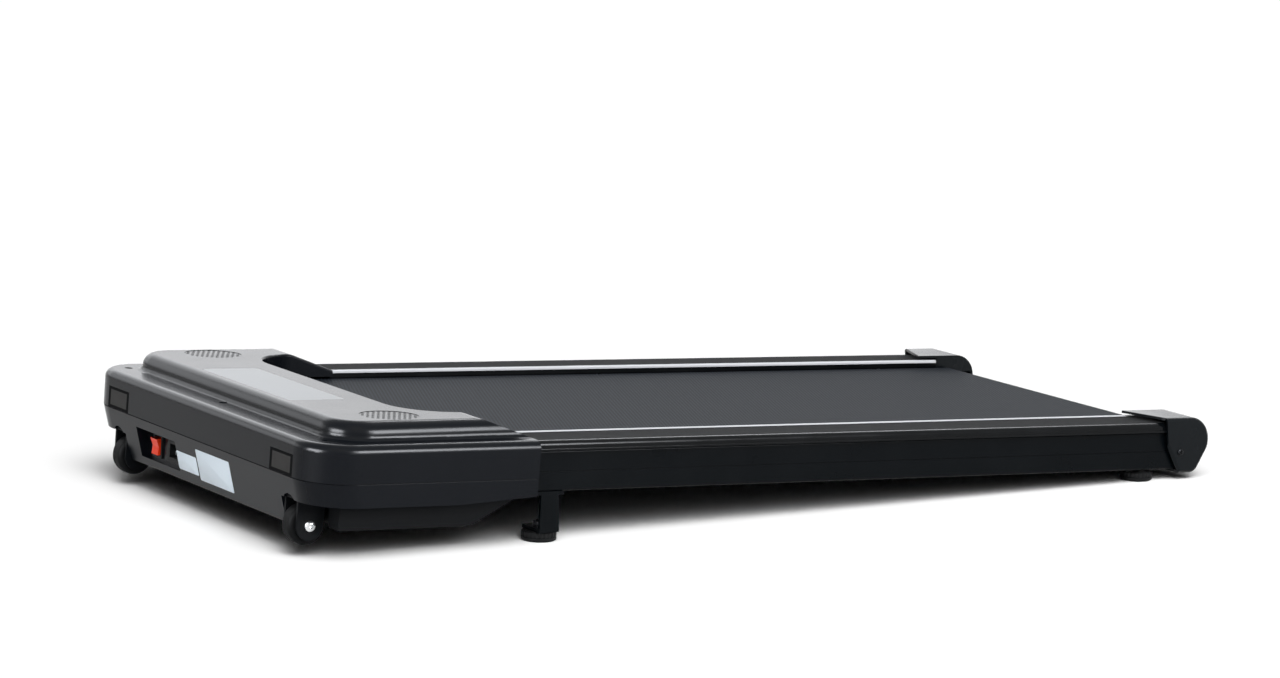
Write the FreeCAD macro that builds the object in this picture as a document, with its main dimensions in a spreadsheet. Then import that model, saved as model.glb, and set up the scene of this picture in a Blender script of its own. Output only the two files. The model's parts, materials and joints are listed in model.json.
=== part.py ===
import FreeCAD, Part
import math
import os

import Sketcher

# Walking pad: a flat treadmill with its motor housing in front.
#
# Every piece but the feet is drawn in the deck's own frame: X across with the right side positive,
# Y along the walking line with the front negative, Z square to the deck and zero on top of the foot
# rails. The deck is then tilted, front end up, and set on its four feet, which stand on Z = 0.

# Sizes in millimetres and the tilt in degrees: name, number
SIZES = [
    # whole object
    ("overall_length", 1200.0),
    ("incline_angle", 2.9),
    ("rear_frame_height", 14.5),
    # clearances and the overrun of every cut
    ("overrun", 5.0),
    ("seat_gap", 0.3),
    ("running_gap", 0.05),
    ("screw_gap", 0.15),
    # foot rails and trim
    ("rail_side_inset", 11.0),
    ("rail_width", 51.0),
    ("rail_thickness", 11.0),
    ("rail_web_thickness", 8.5),
    ("rail_edge_radius", 6.0),
    ("rail_bead_height", 2.5),
    ("rail_bead_reach", 1.2),
    ("rail_bead_radius", 0.8),
    ("rail_rear_setback", 62.0),
    ("trim_width", 6.0),
    ("trim_rise", 0.8),
    ("trim_drop", 2.4),
    ("trim_inner_radius", 1.5),
    ("trim_outer_radius", 0.7),
    # side frames
    ("frame_inset", 4.0),
    ("frame_tube_width", 36.0),
    ("frame_tube_height", 44.5),
    ("frame_wall", 2.0),
    ("frame_front_setback", 45.0),
    ("frame_rear_setback", 30.0),
    ("frame_edge_radius", 2.5),
    ("frame_groove_drop", 33.5),
    ("frame_groove_width", 0.9),
    ("frame_groove_depth", 0.7),
    # deck
    ("belt_side_gap", 5.0),
    ("belt_thickness", 2.0),
    ("belt_drop", 8.0),
    ("deck_thickness", 15.0),
    ("deck_side_gap", 2.0),
    ("deck_end_gap", 14.0),
    ("cross_member_width", 30.0),
    ("cross_member_height", 16.0),
    ("cross_member_end_setback", 60.0),
    ("cushion_height", 6.0),
    ("cushion_diameter", 14.0),
    ("deck_screw_diameter", 5.0),
    ("deck_screw_head", 9.0),
    ("deck_screw_head_height", 3.0),
    ("deck_screw_length", 30.0),
    # rollers
    ("roller_diameter", 40.0),
    ("roller_wall", 3.0),
    ("roller_overhang", 1.0),
    ("axle_diameter", 12.0),
    ("axle_reach", 24.0),
    ("bearing_width", 10.0),
    ("front_roller_setback", 130.0),
    ("rear_roller_setback", 48.0),
    ("pulley_diameter", 60.0),
    ("pulley_width", 10.0),
    ("tension_bolt_diameter", 8.0),
    ("tension_bolt_head", 13.0),
    ("tension_bolt_head_height", 7.0),
    # motor and drive
    ("motor_diameter", 58.0),
    ("motor_length", 130.0),
    ("motor_setback", 56.0),
    ("motor_drop", 26.5),
    ("motor_shaft_diameter", 10.0),
    ("flywheel_diameter", 52.0),
    ("flywheel_width", 10.0),
    ("flywheel_gap", 2.0),
    ("motor_pulley_diameter", 24.0),
    ("drive_belt_width", 8.0),
    ("drive_belt_thickness", 3.0),
    ("cross_bar_depth", 8.0),
    ("cross_bar_height", 20.0),
    ("cross_bar_gap", 14.0),
    ("cradle_wall", 6.0),
    ("cradle_length", 80.0),
    # electronics
    ("board_length", 120.0),
    ("board_width", 66.0),
    ("board_thickness", 1.6),
    ("board_post", 8.0),
    ("board_inset", 19.0),
    ("board_setback", 28.0),
    ("capacitor_diameter", 22.0),
    ("capacitor_height", 28.0),
    ("sink_gap", 20.0),
    ("sink_length", 50.0),
    ("sink_base", 5.0),
    ("sink_height", 24.0),
    ("sink_fin", 2.0),
    # motor housing
    ("housing_width", 532.0),
    ("housing_length", 269.0),
    ("housing_corner_radius", 50.0),
    ("parting_drop", 38.0),
    ("parting_groove_width", 1.2),
    ("parting_groove_depth", 0.9),
    ("rim_rise", 2.0),
    ("rim_radius", 9.0),
    ("cover_wall", 3.0),
    ("dome_rise", 21.7),
    ("dome_radius", 14.0),
    ("dome_front_setback", 37.0),
    ("dome_side_setback", 23.0),
    ("dome_corner_radius", 42.0),
    ("valley_radius", 6.0),
    ("notch_lap", 2.0),
    ("notch_front", 153.0),
    ("notch_radius", 60.0),
    ("notch_edge_radius", 2.5),
    ("arm_ramp_length", 57.0),
    ("arm_crest_radius", 30.0),
    ("belt_clearance", 3.0),
    ("skirt_drop", 63.5),
    ("skirt_rear_rise", 6.0),
    ("skirt_rise_length", 95.0),
    ("floor_recess", 3.0),
    ("arch_radius", 15.0),
    ("arch_drop", 73.0),
    ("belly_drop", 92.0),
    ("apron_slope_setback", 15.5),
    ("fork_side_gap", 2.5),
    ("belly_front_setback", 56.0),
    ("belly_side_inset", 26.0),
    ("belly_wing_setback", 46.0),
    ("belly_rear_inset", 5.0),
    ("belly_rear_radius", 46.0),
    ("belly_rear_overhang", 60.0),
    ("frame_passage_gap", 0.5),
    # display and speakers
    ("display_width", 203.0),
    ("display_depth", 68.0),
    ("display_setback", 54.0),
    ("display_thickness", 1.5),
    ("display_corner_radius", 5.0),
    ("grille_inset", 42.0),
    ("grille_setback", 119.0),
    ("grille_length", 66.0),
    ("grille_width", 54.0),
    ("grille_flange", 1.0),
    ("grille_flange_thickness", 1.5),
    ("grille_sink", 0.4),
    ("grille_hole", 3.6),
    ("grille_pitch", 6.4),
    ("speaker_diameter", 50.0),
    ("speaker_magnet", 26.0),
    ("speaker_rim", 3.0),
    ("speaker_height", 12.0),
    # power recess, switch and inlet
    ("recess_inset", 32.0),
    ("recess_width", 94.0),
    ("recess_top_drop", 50.0),
    ("recess_height", 33.0),
    ("recess_depth", 20.0),
    ("switch_offset", 26.0),
    ("switch_width", 22.0),
    ("switch_height", 27.0),
    ("switch_bezel", 2.0),
    ("switch_bezel_width", 2.5),
    ("switch_body_depth", 22.0),
    ("rocker_height", 18.0),
    ("rocker_width", 15.0),
    ("rocker_depth", 9.0),
    ("rocker_proud", 4.5),
    ("rocker_dip", 2.2),
    ("rocker_pin_diameter", 3.0),
    ("rocker_side_gap", 0.5),
    ("rocker_end_gap", 1.2),
    ("rocker_rest_angle", 8.0),
    ("inlet_offset", 65.0),
    ("inlet_width", 28.0),
    ("inlet_height", 25.0),
    ("inlet_wall", 2.5),
    ("inlet_depth", 18.0),
    ("inlet_pin_length", 11.0),
    ("inlet_pin_width", 2.2),
    ("inlet_pin_height", 4.0),
    ("inlet_pin_spacing", 14.0),
    # front plugs and cover screws
    ("plug_inset", 75.0),
    ("plug_width", 45.0),
    ("plug_height", 20.5),
    ("plug_rise", 0.5),
    ("plug_flange", 3.6),
    ("plug_flange_thickness", 1.5),
    ("plug_outline_gap", 2.4),
    ("cover_screw_diameter", 4.0),
    ("cover_screw_head", 8.0),
    ("cover_screw_head_height", 2.2),
    ("cover_screw_length", 26.0),
    ("cover_screw_rear_length", 12.0),
    ("cover_screw_rear_head_height", 4.0),
    ("cover_screw_recess", 9.0),
    ("cover_screw_recess_depth", 3.6),
    ("boss_diameter", 14.0),
    ("front_screw_setback", 29.5),
    ("side_screw_inset", 36.0),
    ("rear_screw_setback", 15.0),
    # transport wheels
    ("wheel_diameter", 43.0),
    ("wheel_hub_diameter", 29.0),
    ("wheel_width", 20.0),
    ("wheel_inset", 66.0),
    ("wheel_setback", 26.0),
    ("wheel_drop", 90.5),
    ("tyre_edge_radius", 5.0),
    ("wheel_bolt_diameter", 6.0),
    ("wheel_bolt_head", 13.0),
    ("wheel_bolt_head_height", 4.5),
    ("fork_wall", 3.0),
    ("fork_gap", 1.5),
    ("fork_length", 34.0),
    ("fork_tip_radius", 15.5),
    # rear end caps
    ("cap_side_reach", 3.5),
    ("cap_wall", 3.0),
    ("cap_top_rise", 6.5),
    ("cap_overlap", 4.0),
    ("cap_front_setback", 67.0),
    ("cap_inner_front_setback", 88.0),
    ("cap_kink_setback", 61.0),
    ("cap_kink_drop", 28.5),
    ("cap_toe_setback", 42.0),
    ("cap_bottom_drop", 59.0),
    ("cap_heel_setback", 17.0),
    ("cap_rear_drop", 28.0),
    ("cap_top_radius", 28.0),
    ("cap_rear_radius", 20.0),
    ("cap_heel_radius", 12.0),
    ("cap_screw_setback", 43.0),
    ("cap_screw_drop", 34.0),
    ("cap_screw_head", 8.0),
    ("cap_screw_head_height", 2.0),
    ("cap_screw_diameter", 4.0),
    ("cap_screw_length", 14.0),
    ("cap_boss_diameter", 12.0),
    ("cap_edge_radius", 4.0),
    ("cap_cheek_setback", 60.0),
    ("cap_cheek_drop", 14.0),
    # legs and feet
    ("foot_diameter", 38.0),
    ("foot_height", 11.0),
    ("foot_edge_radius", 1.5),
    ("foot_inset", 21.0),
    ("foot_stud_diameter", 8.0),
    ("foot_stud_gap", 0.6),
    ("foot_travel", 6.0),
    ("foot_collar_diameter", 16.0),
    ("front_foot_gap", 25.0),
    ("rear_foot_setback", 84.0),
    ("leg_width_top", 22.0),
    ("leg_width_bottom", 24.0),
    ("leg_wall", 4.0),
    ("leg_flange_length", 34.0),
    ("leg_lip_reach", 15.0),
    ("leg_screw_diameter", 5.0),
    ("leg_screw_head", 9.0),
    ("leg_screw_head_height", 3.0),
    ("leg_screw_inset", 6.0),
]

# Shares of the deck's length at which the cross members lie
CROSS_MEMBER_SHARES = (0.0, 0.5, 1.0)

# Share of the rocker's height that is left at its back
ROCKER_BACK_SHARE = 0.6

# Share of the fork's tip radius that its corners are rounded to, so that a flat sliver is left between them
TIP_SHARE = 0.98

# Numbers of like features
FIN_COUNT = 7
CAPACITOR_COUNT = 3

SIDES = (("right", 1), ("left", -1))


class Size:
    """A length with its number and the sheet expression that a property is bound to."""

    def __init__(self, number, text):
        self.number = float(number)
        self.text = text

    def __float__(self):
        return self.number

    def __neg__(self):
        return Size(-self.number, f"(-{self.text})")

    def __add__(self, other):
        return Size(self.number + float(other), f"({self.text} + {text_of(other)})")

    def __radd__(self, other):
        return Size(float(other) + self.number, f"({text_of(other)} + {self.text})")

    def __sub__(self, other):
        return Size(self.number - float(other), f"({self.text} - {text_of(other)})")

    def __rsub__(self, other):
        return Size(float(other) - self.number, f"({text_of(other)} - {self.text})")

    def __mul__(self, other):
        return Size(self.number * float(other), f"({self.text} * {text_of(other)})")

    __rmul__ = __mul__

    def __truediv__(self, other):
        return Size(self.number / float(other), f"({self.text} / {text_of(other)})")


def text_of(value):
    """The sheet expression of a size, or a plain count as text."""
    return value.text if isinstance(value, Size) else repr(value)


class Sheet:
    """The document's spreadsheet, whose sizes are read as attributes."""

    def __init__(self, doc):
        self.table = doc.addObject("Spreadsheet::Sheet", "Sizes")
        for row, (name, number) in enumerate(SIZES, start=1):
            self.table.set(f"A{row}", name)
            self.table.set(f"B{row}", str(number))
            self.table.setAlias(f"B{row}", name)
        doc.recompute()
        for name, _ in SIZES:
            setattr(self, name, Size(self.table.get(name), f"Sizes.{name}"))


doc = FreeCAD.newDocument("WalkingPad")
s = Sheet(doc)
Vector = FreeCAD.Vector
pieces = []

# Places that several pieces share
front = -s.overall_length / 2
rear = s.overall_length / 2
housing_rear = front + s.housing_length
housing_half = s.housing_width / 2
rail_out = housing_half - s.rail_side_inset
rail_in = rail_out - s.rail_width
frame_out = rail_out - s.frame_inset
frame_in = frame_out - s.frame_tube_width
frame_mid = frame_out - s.frame_tube_width / 2
frame_top = -s.rail_thickness
frame_bottom = frame_top - s.frame_tube_height
belt_half = rail_in - s.trim_width - s.belt_side_gap
deck_half = frame_in - s.deck_side_gap
roller_half = belt_half + s.roller_overhang
notch_half = belt_half - s.notch_lap
dome_half = housing_half - s.dome_side_setback
foot_x = frame_out - s.foot_inset
wheel_x = housing_half - s.wheel_inset
wheel_y = front + s.wheel_setback
wheel_z = -s.wheel_drop
fork_in = wheel_x - s.wheel_width / 2 - s.fork_gap - s.fork_wall
fork_out = wheel_x + s.wheel_width / 2 + s.fork_gap + s.fork_wall
apron_half = fork_in - s.fork_side_gap
belly_half = housing_half - s.belly_side_inset
frame_front = front + s.frame_front_setback
frame_rear = rear - s.frame_rear_setback
roller_radius = s.roller_diameter / 2
belt_inner_radius = roller_radius + s.seat_gap
belt_outer_radius = belt_inner_radius + s.belt_thickness
roller_z = -s.belt_drop - belt_outer_radius
front_roller_y = front + s.front_roller_setback
rear_roller_y = rear - s.rear_roller_setback
deck_top = roller_z + roller_radius
deck_bottom = deck_top - s.deck_thickness
deck_front = front_roller_y + belt_outer_radius + s.deck_end_gap
deck_rear = rear_roller_y - belt_outer_radius - s.deck_end_gap
deck_edge_x = (deck_half + belt_half) / 2
member_top = deck_bottom - s.cushion_height
member_bottom = member_top - s.cross_member_height
rim_top = s.rim_rise
cover_ceiling = rim_top - s.cover_wall
dome_ceiling = s.dome_rise - s.cover_wall
parting = -s.parting_drop
floor_top = s.floor_recess + s.cover_wall - s.skirt_drop
floor_bottom = s.floor_recess - s.skirt_drop
belly_bottom = -s.belly_drop

# Tilt of the deck: front end up, its height set by the frame's underside over the rear feet
tilt = FreeCAD.Rotation(Vector(1, 0, 0), -float(s.incline_angle))
slope = math.radians(float(s.incline_angle))
lean = (s.parting_drop + s.cap_rear_drop) / 2 * math.sin(slope)
rear_foot_y = rear - s.rear_foot_setback
deck_height = s.rear_frame_height + rear_foot_y * math.sin(slope) - frame_bottom * math.cos(slope)
deck_place = FreeCAD.Placement(Vector(0, lean, deck_height), tilt)


def bind(thing, **sizes):
    """Binds properties of a document object to sizes; a double underscore stands for a dot."""
    for name, size in sizes.items():
        thing.setExpression(name.replace("__", "."), text_of(size))


def box(x, y, z):
    """A block between two places on each axis."""
    block = doc.addObject("Part::Box", "Block")
    bind(block, Length=x[1] - x[0], Width=y[1] - y[0], Height=z[1] - z[0])
    bind(block, Placement__Base__x=x[0], Placement__Base__y=y[0], Placement__Base__z=z[0])
    return block


AXIS_TURNS = {
    "X": FreeCAD.Rotation(Vector(0, 1, 0), 90),
    "Y": FreeCAD.Rotation(Vector(1, 0, 0), -90),
    "Z": FreeCAD.Rotation(),
}


def rod(axis, radius, low, high, x=0, y=0, z=0):
    """A round rod along an axis from low to high; the other two places set its line."""
    place = {"X": x, "Y": y, "Z": z}
    place[axis] = low
    bar = doc.addObject("Part::Cylinder", "Rod")
    bar.Placement = FreeCAD.Placement(Vector(), AXIS_TURNS[axis])
    bind(bar, Radius=radius, Height=high - low)
    bind(bar, Placement__Base__x=place["X"], Placement__Base__y=place["Y"], Placement__Base__z=place["Z"])
    return bar


def fuse(shapes):
    """One solid made of several that touch or cross."""
    joined = doc.addObject("Part::MultiFuse", "Fused")
    joined.Shapes = shapes
    joined.Refine = True
    return joined


def cut(base, tools):
    """A solid with one or more others taken out of it."""
    drilled = doc.addObject("Part::Cut", "Cut")
    drilled.Base = base
    drilled.Tool = tools[0] if len(tools) == 1 else fuse(tools)
    return drilled


def group(shapes):
    """Separate solids that share one node."""
    gathered = doc.addObject("Part::Compound", "Group")
    gathered.Links = shapes
    return gathered


def feature(shape):
    """A document object that holds a shape drawn with lines, arcs and lofts."""
    holder = doc.addObject("Part::Feature", "Shell")
    holder.Shape = shape
    return holder


def origin_plane(body, role):
    """One of a body's own origin planes."""
    return next(plane for plane in body.Origin.OriginFeatures if plane.Role == role)


def outline(body, role, points, offset):
    """A closed sketch with straight sides, every corner held by two sizes."""
    sketch = body.newObject("Sketcher::SketchObject", "Outline")
    sketch.AttachmentSupport = (origin_plane(body, role), "")
    sketch.MapMode = "FlatFace"
    bind(sketch, AttachmentOffset__Base__z=offset)
    corners = [Vector(across, along, 0) for across, along in points]
    for index, corner in enumerate(corners):
        sketch.addGeometry(Part.LineSegment(corner, corners[(index + 1) % len(corners)]))
    for index in range(len(corners)):
        sketch.addConstraint(Sketcher.Constraint("Coincident", index, 2, (index + 1) % len(corners), 1))
    for index, corner in enumerate(points):
        for kind, size in zip(("DistanceX", "DistanceY"), corner):
            rule = sketch.addConstraint(Sketcher.Constraint(kind, -1, 1, index, 1, float(size)))
            sketch.setExpression(f"Constraints[{rule}]", text_of(size))
    return sketch


def prism(role, points, low, high):
    """A body padded from low to high, square to one of the origin planes."""
    body = doc.addObject("PartDesign::Body", "Prism")
    offset = -high if role == "XZ_Plane" else low
    pad = body.newObject("PartDesign::Pad", "Pad")
    pad.Profile = outline(body, role, points, offset)
    bind(pad, Length=high - low)
    doc.recompute()
    return body


def turned(role, points, line):
    """A body turned from a half section about the sketch's H_Axis or V_Axis."""
    body = doc.addObject("PartDesign::Body", "Turned")
    revolution = body.newObject("PartDesign::Revolution", "Revolution")
    sketch = outline(body, role, points, 0)
    revolution.Profile = sketch
    revolution.ReferenceAxis = (sketch, [line])
    doc.recompute()
    return body


def round_edges(body, radius, wanted):
    """Rounds the edges of a body that pass a test."""
    base = body.Tip
    names = [f"Edge{n}" for n, edge in enumerate(base.Shape.Edges, start=1) if wanted(edge)]
    fillet = body.newObject("PartDesign::Fillet", "Rounded")
    fillet.Base = (base, names)
    bind(fillet, Radius=radius)
    body.Tip = fillet
    doc.recompute()
    return body


def near(value, size):
    """Whether a coordinate lies on a size, within a rounding error."""
    return math.isclose(value, float(size), abs_tol=float(s.running_gap))


def is_circle(edge, radius):
    """Whether an edge is a circle of this radius."""
    return isinstance(edge.Curve, Part.Circle) and near(edge.Curve.Radius, radius)


def piece(name, thing, x=0, y=0, z=0, turn=FreeCAD.Rotation()):
    """Names a piece, moves it to its place on the deck and tilts it with the deck."""
    thing.Label = name
    thing.Placement = deck_place.multiply(FreeCAD.Placement(Vector(x, y, z), turn))
    pieces.append(thing)
    return thing


def mirrored(sign, low, high):
    """A span across the deck on the right side, or its mirror image on the left."""
    return (low, high) if sign > 0 else (-high, -low)


def rounded_wire(corners):
    """A closed outline; each corner is a point and the radius of its tangent arc."""
    turns = []
    for index, (here, radius) in enumerate(corners):
        back = (corners[index - 1][0] - here).normalize()
        ahead = (corners[(index + 1) % len(corners)][0] - here).normalize()
        half = back.getAngle(ahead) / 2
        reach = float(radius) / math.tan(half)
        depth = float(radius) / math.sin(half) - float(radius)
        inward = (back + ahead).normalize() if reach else back
        turns.append((here + back * reach, here + inward * depth, here + ahead * reach, reach > 0))
    edges = []
    for index, (begin, middle, end, is_round) in enumerate(turns):
        if is_round:
            edges.append(Part.Arc(begin, middle, end).toShape())
        edges.append(Part.LineSegment(end, turns[(index + 1) % len(turns)][0]).toShape())
    return Part.Wire(edges)


def plan_wire(corners, z):
    """An outline at one height, from (x, y, radius) corners."""
    return rounded_wire([(Vector(x, y, z), radius) for x, y, radius in corners])


def rounded_slab(corners, low, high):
    """An upright slab with a rounded outline."""
    return Part.Face(plan_wire(corners, low)).extrude(Vector(0, 0, high - low))


def side_slab(corners, x_low, x_high):
    """A slab across the deck with a rounded side outline, from (y, z, radius) corners."""
    wire = rounded_wire([(Vector(x_low, y, z), radius) for y, z, radius in corners])
    return Part.Face(wire).extrude(Vector(x_high - x_low, 0, 0))


def block_shape(x, y, z):
    """A plain block for cutting shells."""
    shape = Part.makeBox(x[1] - x[0], y[1] - y[0], z[1] - z[0])
    shape.translate(Vector(x[0], y[0], z[0]))
    return shape


def rod_shape(axis, radius, low, high, x=0, y=0, z=0):
    """A plain rod for cutting shells and adding bosses."""
    place = {"X": x, "Y": y, "Z": z}
    place[axis] = low
    line = Vector(*(1 if name == axis else 0 for name in "XYZ"))
    return Part.makeCylinder(radius, high - low, Vector(place["X"], place["Y"], place["Z"]), line)


def front_corners(half, near_edge, far_edge, radius):
    """A plan outline whose two front corners are rounded."""
    return [(-half, far_edge, 0), (-half, near_edge, radius), (half, near_edge, radius), (half, far_edge, 0)]


# Side frames: painted steel tubes that carry the deck, the rollers and the legs
def side_frame(name, sign):
    wall = s.frame_wall
    low, high = mirrored(sign, frame_in, frame_out)
    points = [(low, frame_bottom), (high, frame_bottom), (high, frame_top), (low, frame_top)]
    tube = prism("XZ_Plane", points, frame_front, frame_rear)
    round_edges(tube, s.frame_edge_radius, lambda edge: near(edge.BoundBox.YMin, frame_front)
                and near(edge.BoundBox.YMax, frame_rear))
    inside = box((low + wall, high - wall), (frame_front - s.overrun, frame_rear - wall),
                 (frame_bottom + wall, frame_top - wall))
    axle_hole = s.axle_diameter / 2 + s.screw_gap
    low, high = mirrored(sign, frame_in - s.overrun, frame_in + wall + s.overrun)
    holes = [rod("X", axle_hole, low, high, y=y, z=roller_z) for y in (front_roller_y, rear_roller_y)]
    bolt_hole = s.tension_bolt_diameter / 2 + s.screw_gap
    holes.append(rod("Y", bolt_hole, frame_rear - wall - s.overrun, frame_rear + s.overrun,
                     x=sign * frame_mid, z=roller_z))
    cap_hole = s.cap_screw_diameter / 2 + s.screw_gap
    low, high = mirrored(sign, frame_out - wall - s.overrun, frame_out + s.overrun)
    holes.append(rod("X", cap_hole, low, high, y=cap_screw_y, z=-s.cap_screw_drop))
    leg_hole = s.leg_screw_diameter / 2 + s.screw_gap
    for y in leg_screw_ys:
        holes.append(rod("Z", leg_hole, frame_bottom - s.overrun, frame_bottom + wall + s.overrun,
                         x=sign * frame_mid, y=y))
    cover_hole = s.cover_screw_diameter / 2 + s.screw_gap
    holes.append(rod("Z", cover_hole, frame_top - wall - s.overrun, frame_top + s.overrun,
                     x=sign * rear_screw_x, y=rear_screw_y))
    low, high = mirrored(sign, frame_out - s.frame_groove_depth, frame_out + s.overrun)
    holes.append(box((low, high), (frame_front - s.overrun, frame_rear + s.overrun),
                     (-s.frame_groove_drop - s.frame_groove_width, -s.frame_groove_drop)))
    stud_hole = s.foot_stud_diameter / 2 + s.foot_stud_gap
    holes.append(rod("Z", stud_hole, frame_bottom - s.overrun, frame_bottom + wall + s.overrun,
                     x=sign * foot_x, y=rear_foot_y))
    piece(f"{name}_side_frame", cut(tube, [inside] + holes))


# Foot rails: moulded strips with a bullnose outer edge over a low bead, butting on the housing
def foot_rail(name, sign):
    ledge = sign * (rail_in - s.trim_width)
    inner = sign * rail_in
    outer = sign * rail_out
    neck = sign * (rail_out - s.rail_bead_reach)
    bead_top = frame_top + s.rail_bead_height
    step = sign * frame_in
    points = [(ledge, -s.rail_web_thickness), (step, -s.rail_web_thickness), (step, frame_top), (outer, frame_top),
              (outer, bead_top), (neck, bead_top), (neck, 0), (inner, 0), (inner, -s.trim_drop),
              (ledge, -s.trim_drop)]
    body = prism("XZ_Plane", points, housing_rear, rear - s.rail_rear_setback)
    round_edges(body, s.rail_edge_radius, lambda edge: near(edge.CenterOfMass.x, neck)
                and near(edge.CenterOfMass.z, 0))
    round_edges(body, s.rail_bead_radius, lambda edge: near(edge.CenterOfMass.x, outer)
                and near(edge.CenterOfMass.z, bead_top))
    piece(f"{name}_foot_rail", body)


# Trim strips: bright beads along the rails' inner edges, beside the belt
def trim_strip(name, sign):
    low, high = mirrored(sign, rail_in - s.trim_width, rail_in)
    points = [(low, -s.trim_drop), (high, -s.trim_drop), (high, s.trim_rise), (low, s.trim_rise)]
    body = prism("XZ_Plane", points, housing_rear, rear - s.rail_rear_setback)
    for x, radius in ((rail_in - s.trim_width, s.trim_inner_radius), (rail_in, s.trim_outer_radius)):
        round_edges(body, radius, lambda edge: near(edge.CenterOfMass.x, sign * x)
                    and near(edge.CenterOfMass.z, s.trim_rise))
    piece(f"{name}_trim_strip", body)


# A closed loop round two like rollers, from straight runs and half rounds
def loop_solid(radius, half_width):
    ys = (front_roller_y, rear_roller_y)
    run = box((-half_width, half_width), ys, (roller_z - radius, roller_z + radius))
    ends = [rod("X", radius, -half_width, half_width, y=y, z=roller_z) for y in ys]
    return fuse([run] + ends)


def walking_belt():
    inner = loop_solid(belt_inner_radius, belt_half + s.overrun)
    piece("walking_belt", cut(loop_solid(belt_outer_radius, belt_half), [inner]))


# Deck: board, rubber cushions, cross members and the screws that hold them together
def deck():
    half = deck_half
    span = deck_rear - deck_front - 2 * s.cross_member_end_setback
    member_ys = [deck_front + s.cross_member_end_setback + span * share for share in CROSS_MEMBER_SHARES]
    places = [(sign * deck_edge_x, y) for y in member_ys for _, sign in SIDES]
    shank_hole = s.deck_screw_diameter / 2 + s.screw_gap
    head_hole = s.deck_screw_head / 2 + s.screw_gap
    head_seat = deck_top - s.deck_screw_head_height
    shank_tip = deck_top - s.deck_screw_length

    board = box((-half, half), (deck_front, deck_rear), (deck_bottom, deck_top))
    bores = [rod("Z", shank_hole, deck_bottom - s.overrun, deck_top, x=x, y=y) for x, y in places]
    sinks = [rod("Z", head_hole, head_seat, deck_top + s.overrun, x=x, y=y) for x, y in places]
    piece("deck_board", cut(board, bores + sinks))

    cushions = []
    for x, y in places:
        ring = rod("Z", s.cushion_diameter / 2, member_top, deck_bottom, x=x, y=y)
        bore = rod("Z", shank_hole, member_top - s.overrun, deck_bottom + s.overrun, x=x, y=y)
        cushions.append(cut(ring, [bore]))
    piece("deck_cushions", group(cushions))

    members = []
    for index, y in enumerate(member_ys):
        bar = box((-frame_in, frame_in), (y - s.cross_member_width / 2, y + s.cross_member_width / 2),
                  (member_bottom, member_top))
        bores = [rod("Z", shank_hole, member_bottom - s.overrun, member_top + s.overrun, x=x, y=y)
                 for x, _ in places[2 * index:2 * index + 2]]
        members.append(cut(bar, bores))
    piece("cross_members", group(members))

    screws = []
    for x, y in places:
        head = rod("Z", s.deck_screw_head / 2, head_seat, deck_top, x=x, y=y)
        shank = rod("Z", s.deck_screw_diameter / 2, shank_tip, deck_top, x=x, y=y)
        screws.append(fuse([head, shank]))
    piece("deck_screws", group(screws))


# Rollers: tubes on ball bearings that turn round fixed axles
def roller(name, y):
    half = roller_half
    bore = roller_radius - s.roller_wall
    section = [(-half, bore), (half, bore), (half, roller_radius), (-half, roller_radius)]
    piece(f"{name}_roller", turned("XY_Plane", section, "H_Axis"), y=y, z=roller_z)

    bearings = []
    for _, sign in SIDES:
        low, high = mirrored(sign, half - s.bearing_width, half)
        ring = rod("X", bore - s.screw_gap, low, high, y=y, z=roller_z)
        eye = s.axle_diameter / 2 + s.running_gap
        bearings.append(cut(ring, [rod("X", eye, low - s.overrun, high + s.overrun, y=y, z=roller_z)]))
    piece(f"{name}_roller_bearings", group(bearings))

    reach = frame_in + s.frame_wall + s.axle_reach
    axle = rod("X", s.axle_diameter / 2, -reach, reach, y=y, z=roller_z)
    if name == "rear":
        bore = s.tension_bolt_diameter / 2 + s.screw_gap
        span = (y - s.axle_diameter, y + s.axle_diameter)
        axle = cut(axle, [rod("Y", bore, *span, x=sign * frame_mid, z=roller_z) for _, sign in SIDES])
    piece(f"{name}_roller_axle", group([axle]))


# Tension bolts: hex bolts through the frames' end plates and the rear axle
def tension_bolts():
    bolts = []
    for _, sign in SIDES:
        x = sign * frame_mid
        tip = rear_roller_y - s.axle_diameter
        end = frame_rear + s.tension_bolt_head_height
        shank = rod("Y", s.tension_bolt_diameter / 2, tip, frame_rear, x=x, z=roller_z)
        head = rod("Y", s.tension_bolt_head / 2, frame_rear, end, x=x, z=roller_z)
        bolts.append(fuse([shank, head]))
    piece("tension_bolts", group(bolts))


# Motor and drive: the motor lies across the housing and drives the front roller's right end
motor_y = front + s.motor_setback
motor_z = -s.motor_drop
motor_radius = s.motor_diameter / 2
pulley_in = roller_half
pulley_out = pulley_in + s.pulley_width
flywheel_in = pulley_in - s.flywheel_width
motor_right = flywheel_in - s.flywheel_gap
motor_left = motor_right - s.motor_length


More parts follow.
